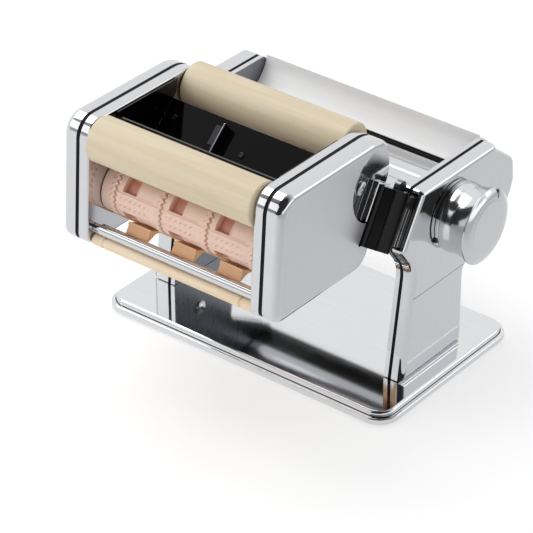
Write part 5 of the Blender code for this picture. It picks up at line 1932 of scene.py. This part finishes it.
@dataclass
class Hopper(Assembly):
    """The filling hopper over the nip: two sheets, two cheeks, a divider and its screws."""

    BODY = Body.ATTACHMENT
    front: tuple[Flat, ...] = ((-113.0, 155.2), (-98.5, 129.0), (-97.4, 127.2))
    rear: tuple[Flat, ...] = ((-91.5, 127.5), (-84.3, 129.7), (-62.5, 150.0))
    rear_rim: Flat = (-65.1, 147.6)
    cheek_top: tuple[Flat, ...] = ((-61.0, 158.5), (-113.5, 158.5))
    thickness: float = 1.0
    bend: float = 3.0
    rounding: float = 0.2
    cheek: float = 1.0
    divider_at: float = -12.0
    divider_start: float = 1.0
    divider_height: float = 7.0
    divider_length: float = 22.0
    foot_along: Flat = (9.0, 21.0)
    foot_out: Flat = (0.1, 1.0)
    foot_reach: Flat = (7.5, 0.1)
    screws: tuple[tuple[Side, float, float], ...] = (
        (Side.LEFT, -47.1, 16.1), (Side.RIGHT, 2.6, 10.2))
    screw_radius: float = 1.9
    screw_profile: tuple[Flat, ...] = (
        (0.1, 1.0), (0.5, 0.97), (0.8, 0.75), (0.8, 0.6), (0.5, 0.5), (0.5, 0.1),
    )

    def build(self) -> None:
        """Makes the sheets, cheeks, divider and screws."""
        half = Attachment.inner_width / 2 - Attachment.end_gap - self.cheek - TOUCHING
        front = sheet("hopper_front_wall", self.front, self.thickness, half, self.bend)
        rear = sheet(
            "hopper_rear_wall", (*self.rear[:2], self.rear_rim), -self.thickness, half, self.bend)
        walls = [(soften(front, self.rounding), "hopper_front_sheet"), (rear, "hopper_rear_sheet")]
        corners = [*self.front, *self.rear, *self.cheek_top]
        for side in Side:
            ends = span(side, half + TOUCHING, half + TOUCHING + self.cheek)
            cheek = Draft().bar(*ends, corners).piece(f"hopper_cheek_wall_{side.word}")
            walls.append((cheek, f"hopper_cheek_{side.word}"))
        for wall, node in walls:
            self.add(wall, ENAMEL, Slot.BLACK, node)
        self.divider()
        for side, x, along in self.screws:
            self.screw(f"hopper_screw_{side.word}", x, along)

    def divider(self) -> None:
        """The bright blade across the rear sheet, with its dark foot."""
        low, high = self.divider_at - self.thickness / 2, self.divider_at + self.thickness / 2
        fin = self.slope_box((self.divider_start, self.divider_length), (FIT, self.divider_height))
        divider = soften(Draft().bar(low, high, fin).piece("hopper_divider_blade"), self.rounding)
        self.add(divider, CHROME, Slot.CHROME, "hopper_divider")
        tab = self.slope_box(self.foot_along, self.foot_out)
        foot = Draft().bar(
            low - self.foot_reach[0], low - self.foot_reach[1], tab).piece("divider_foot")
        self.add(soften(foot, self.rounding), OXIDE, Slot.STEEL)

    def screw(self, name: str, x: float, along: float) -> None:
        """A small domed dark screw with a round recess, on the rear wall.

        Args:
            name: its name.
            x: its place along the machine.
            along: its place up the wall.
        """
        rings = []
        for lift, share in self.screw_profile:
            spots = circle(0, self.screw_radius * share, (x, 0), BOLT_SIDES)
            rings.append([(across, *self.on_slope(along + up, lift)) for _, across, up in spots])
        self.add(Draft().skin(rings).piece(name), OXIDE, Slot.BLACK)

    def on_slope(self, along: float, out: float) -> Flat:
        """A place on the rear sheet: along it, and out from it.

        Args:
            along: how far up from the fold.
            out: how far off the sheet.

        Returns:
            The place in the side view.
        """
        _, foot, top = self.rear
        way = unit((top[0] - foot[0], top[1] - foot[1]))
        return foot[0] + way[0] * along - way[1] * out, foot[1] + way[1] * along + way[0] * out

    def slope_box(self, along: Flat, out: Flat) -> list[Flat]:
        """A rectangle on the rear sheet, between two places along it and two heights over it."""
        near, far = out
        return [
            self.on_slope(along[0], near), self.on_slope(along[1], near),
            self.on_slope(along[1], far), self.on_slope(along[0], far)]


@dataclass
class Combs(Assembly):
    """Amber combs whose curved fingers lift the filled dough off the mould rollers."""

    BODY = Body.ATTACHMENT
    gap: float = 0.9
    thickness: float = 1.8
    start: float = -128.0
    end: float = -62.0
    web: float = -103.0
    web_wall: float = 0.8
    web_steps: int = 12
    finger: float = 15.0
    cells: tuple[int, ...] = (-1, 0, 1)
    tip: Flat = (-13.7, -20.0)
    root_near: tuple[int, int, float] = (0, 1, 0.85)
    root_far: tuple[int, int, float] = (5, 8, 0.7)
    bar: float = 5.0
    bar_drop: float = 3.2
    steps: int = 20
    rounding: float = 0.3

    def build(self) -> None:
        """Makes both combs."""
        self.comb("front_lifting_comb", Moulds.front(), 1, "front_comb")
        self.comb("rear_lifting_comb", Moulds.rear(), -1, "rear_comb")

    def comb(self, name: str, centre: Flat, facing: int, node: str) -> None:
        """One comb: a bar, a thin web behind the roller, and a finger and tongue at each cell.

        Args:
            name: the piece's name.
            centre: its roller's axis in the side view.
            facing: one at the front, minus one at the rear.
            node: the CAD node it stands for.
        """
        near = Level.RIDGE.value + self.gap

        def turned(points: Sequence[Flat]) -> list[Flat]:
            """Points round the roller's axis, facing forwards or backwards."""
            return [(centre[0] + facing * y, centre[1] + z) for y, z in points]

        inner = turned(arc((0, 0), near, self.start, self.end, self.steps))
        outer = turned(arc((0, 0), near + self.thickness, self.start, self.end, self.steps))
        web = turned(arc((0, 0), near, self.web, self.end, self.web_steps))
        web += turned(arc((0, 0), near + self.web_wall, self.end, self.web, self.web_steps))
        (edge,), (low, high, share) = turned([self.tip]), self.root_near
        start = Vector(inner[low]).lerp(Vector(outer[high]), share)
        low, high, share = self.root_far
        end = Vector(inner[low]).lerp(Vector(outer[high]), share)
        tongue = [tuple(start), edge, (edge[0] + facing * self.thickness, edge[1]), tuple(end)]
        tail, half = outer[-1], Attachment.inner_width / 2 - Attachment.end_gap
        back, below = tail[0] - facing * self.bar, tail[1] - self.bar_drop
        comb = Draft().bar(
            -half, half, [(back, below), (tail[0], below), tail, (back, tail[1])]).piece(name)
        tools = [Draft().bar(-half, half, web).piece("cutter")]
        for cell in self.cells:
            ends = cell * Moulds.pitch - self.finger / 2, cell * Moulds.pitch + self.finger / 2
            tools.append(Draft().bar(*ends, inner + outer[::-1]).piece("cutter"))
            tools.append(Draft().bar(*ends, tongue).piece("cutter"))
        carve(comb, tools, "UNION")
        soften(comb, self.rounding)
        self.add(comb, AMBER, Slot.AMBER, node)


@dataclass
class Studio:
    """The pale sweep, the soft lamps and the camera."""

    camera_place: Point = (0.8371, -1.2090, 0.9483)
    right: Point = (0.8024, 0.5953, 0.0422)
    up: Point = (-0.3388, 0.3962, 0.8533)
    back: Point = (0.4913, -0.6990, 0.5196)
    lens: float = 204.0
    sensor: float = 36.0
    sight: float = 50.0
    aim: Point = (0.0, 0.0, 0.08)
    lamps: tuple[tuple[str, Point, Flat, float], ...] = (
        ("key_softbox", (-0.85, 0.0, 1.6), (1.2, 1.2), 11.5),
        ("front_softbox", (-0.94, -1.44, 1.0), (1.8, 1.0), 6.5),
        ("edge_softbox", (1.24, 1.29, 0.53), (0.35, 0.35), 0.5),
        ("side_softbox", (1.75, 0.06, 0.25), (2.4, 0.4), 3.3),
    )
    floor_reach: float = 6.0
    floor_roughness: float = 0.7
    floor_glow: float = 1.3
    fade_from: Flat = (-0.05, 0.45)
    fade_to: Flat = (1.0, 0.5)
    seen_glow: float = 0.42
    mirror_glow: float = 0.8
    soft_light: float = 0.64
    room_from: Flat = (0.0, 0.60)
    room_to: Flat = (1.0, 0.03)

    def build(self) -> None:
        """Makes the floor, the world, the lamps and the camera."""
        scene = bpy.context.scene
        scene.view_settings.view_transform = "Standard"
        self.floor()
        self.world(scene)
        for lamp in self.lamps:
            self.lamp(*lamp)
        self.camera(scene)

    def camera(self, scene: bpy.types.Scene) -> None:
        """The camera at the photograph's viewing angle.

        Args:
            scene: the scene it joins.
        """
        data = bpy.data.cameras.new("photo_camera")
        data.lens = self.lens
        data.sensor_width = self.sensor
        data.clip_end = self.sight
        camera = bpy.data.objects.new("photo_camera", data)
        scene.collection.objects.link(camera)
        turn = Matrix((self.right, self.up, self.back)).transposed()
        camera.matrix_world = Matrix.Translation(self.camera_place) @ turn.to_4x4()
        scene.camera = camera

    def floor(self) -> None:
        """A wide pale floor that keeps the object's shadow."""
        mesh = bpy.data.meshes.new("studio_floor")
        reach = self.floor_reach
        corners = [(-reach, -reach, 0), (reach, -reach, 0), (reach, reach, 0), (-reach, reach, 0)]
        mesh.from_pydata(corners, [], [(0, 1, 2, 3)])
        floor = bpy.data.objects.new("studio_floor", mesh)
        bpy.context.scene.collection.objects.link(floor)
        mesh.materials.append(self.sweep())

    def sweep(self) -> bpy.types.Material:
        """The floor's white material, which also lights what is seen in the polished steel.

        Returns:
            The material.
        """
        material = bpy.data.materials.new("white_sweep")
        material.use_nodes = True
        tree = material.node_tree
        shader = tree.nodes["Principled BSDF"]
        shader.inputs["Base Color"].default_value = linear("#FBFBFB")
        shader.inputs["Roughness"].default_value = self.floor_roughness
        path = add_node(tree, "ShaderNodeLightPath")
        mirror = in_mirror(tree, path)
        place = add_node(tree, "ShaderNodeTexCoord").outputs["Object"]
        along = add_node(tree, "ShaderNodeSeparateXYZ", {"Vector": place}).outputs["X"]
        fade = remap(tree, along, self.fade_from, self.fade_to)
        level = choose(tree, mirror, self.floor_glow, fade)
        glow = add_node(tree, "ShaderNodeEmission", {"Color": (1, 1, 1, 1), "Strength": level})
        seen = combine(tree, "MULTIPLY", path.outputs["Is Camera Ray"], self.seen_glow)
        share = combine(tree, "MULTIPLY_ADD", mirror, self.mirror_glow, seen)
        feeds = {0: share, 1: shader.outputs["BSDF"], 2: glow.outputs["Emission"]}
        mixed = add_node(tree, "ShaderNodeMixShader", feeds)
        tree.links.new(mixed.outputs["Shader"], tree.nodes["Material Output"].inputs["Surface"])
        return material

    def world(self, scene: bpy.types.Scene) -> None:
        """White to the camera, soft grey light on the object, and a darker room behind the camera.

        Args:
            scene: the scene it joins.
        """
        world = bpy.data.worlds.new("studio")
        world.use_nodes = True
        scene.world = world
        tree = world.node_tree
        background = tree.nodes["Background"]
        path = add_node(tree, "ShaderNodeLightPath")
        mirror = in_mirror(tree, path)
        way = add_node(tree, "ShaderNodeTexCoord").outputs["Generated"]
        facing = add_node(
            tree, "ShaderNodeVectorMath", {0: way, 1: self.back}, operation="DOT_PRODUCT")
        room = remap(tree, facing.outputs["Value"], self.room_from, self.room_to)
        level = choose(tree, mirror, self.soft_light, room)
        background.inputs["Color"].default_value = (1, 1, 1, 1)
        shown = choose(tree, path.outputs["Is Camera Ray"], level, 1.0)
        tree.links.new(shown, background.inputs["Strength"])

    def lamp(self, name: str, place: Point, size: Flat, power: float) -> None:
        """One soft box aimed at the object.

        Args:
            name: the lamp's name.
            place: where it hangs, in metres.
            size: its width and height.
            power: in watts.
        """
        data = bpy.data.lights.new(name, "AREA")
        data.shape = "RECTANGLE"
        data.size, data.size_y = size
        data.energy = power
        lamp = bpy.data.objects.new(name, data)
        bpy.context.scene.collection.objects.link(lamp)
        lamp.location = place
        aim = Vector(self.aim) - Vector(place)
        lamp.rotation_euler = aim.to_track_quat("-Z", "Y").to_euler()


KEPT_NODES: dict[str, Finish] = {
    "adjusting_shaft": TURNED, "attachment_socket": TURNED,
    "tie_rod_front": TURNED, "tie_rod_rear": TURNED, "tie_rod_lower": TURNED,
    "front_scraper": ABS, "rear_scraper": ABS,
    "roller_link_left": BRONZE, "roller_link_right": BRONZE,
    "front_roller_gear": BRONZE, "rear_roller_gear": BRONZE,
    "rear_bush_left": BRONZE, "rear_bush_right": BRONZE,
    "front_mould_gear": BRONZE, "rear_mould_gear": BRONZE,
}


def main() -> None:
    """Builds the sub-assemblies in order, then the studio."""
    logging.basicConfig(level=logging.INFO, format="%(name)s: %(message)s")
    shop = Workshop()
    kinds = (
        BasePan, Columns, Sheets, SmoothRollers, Knob, Rails, Attachment, Moulds, Hopper, Combs)
    for kind in kinds:
        kind(shop).build()
    for node, finish in KEPT_NODES.items():
        shop.keep(node, finish)
    Studio().build()


if __name__ == "__main__":
    main()
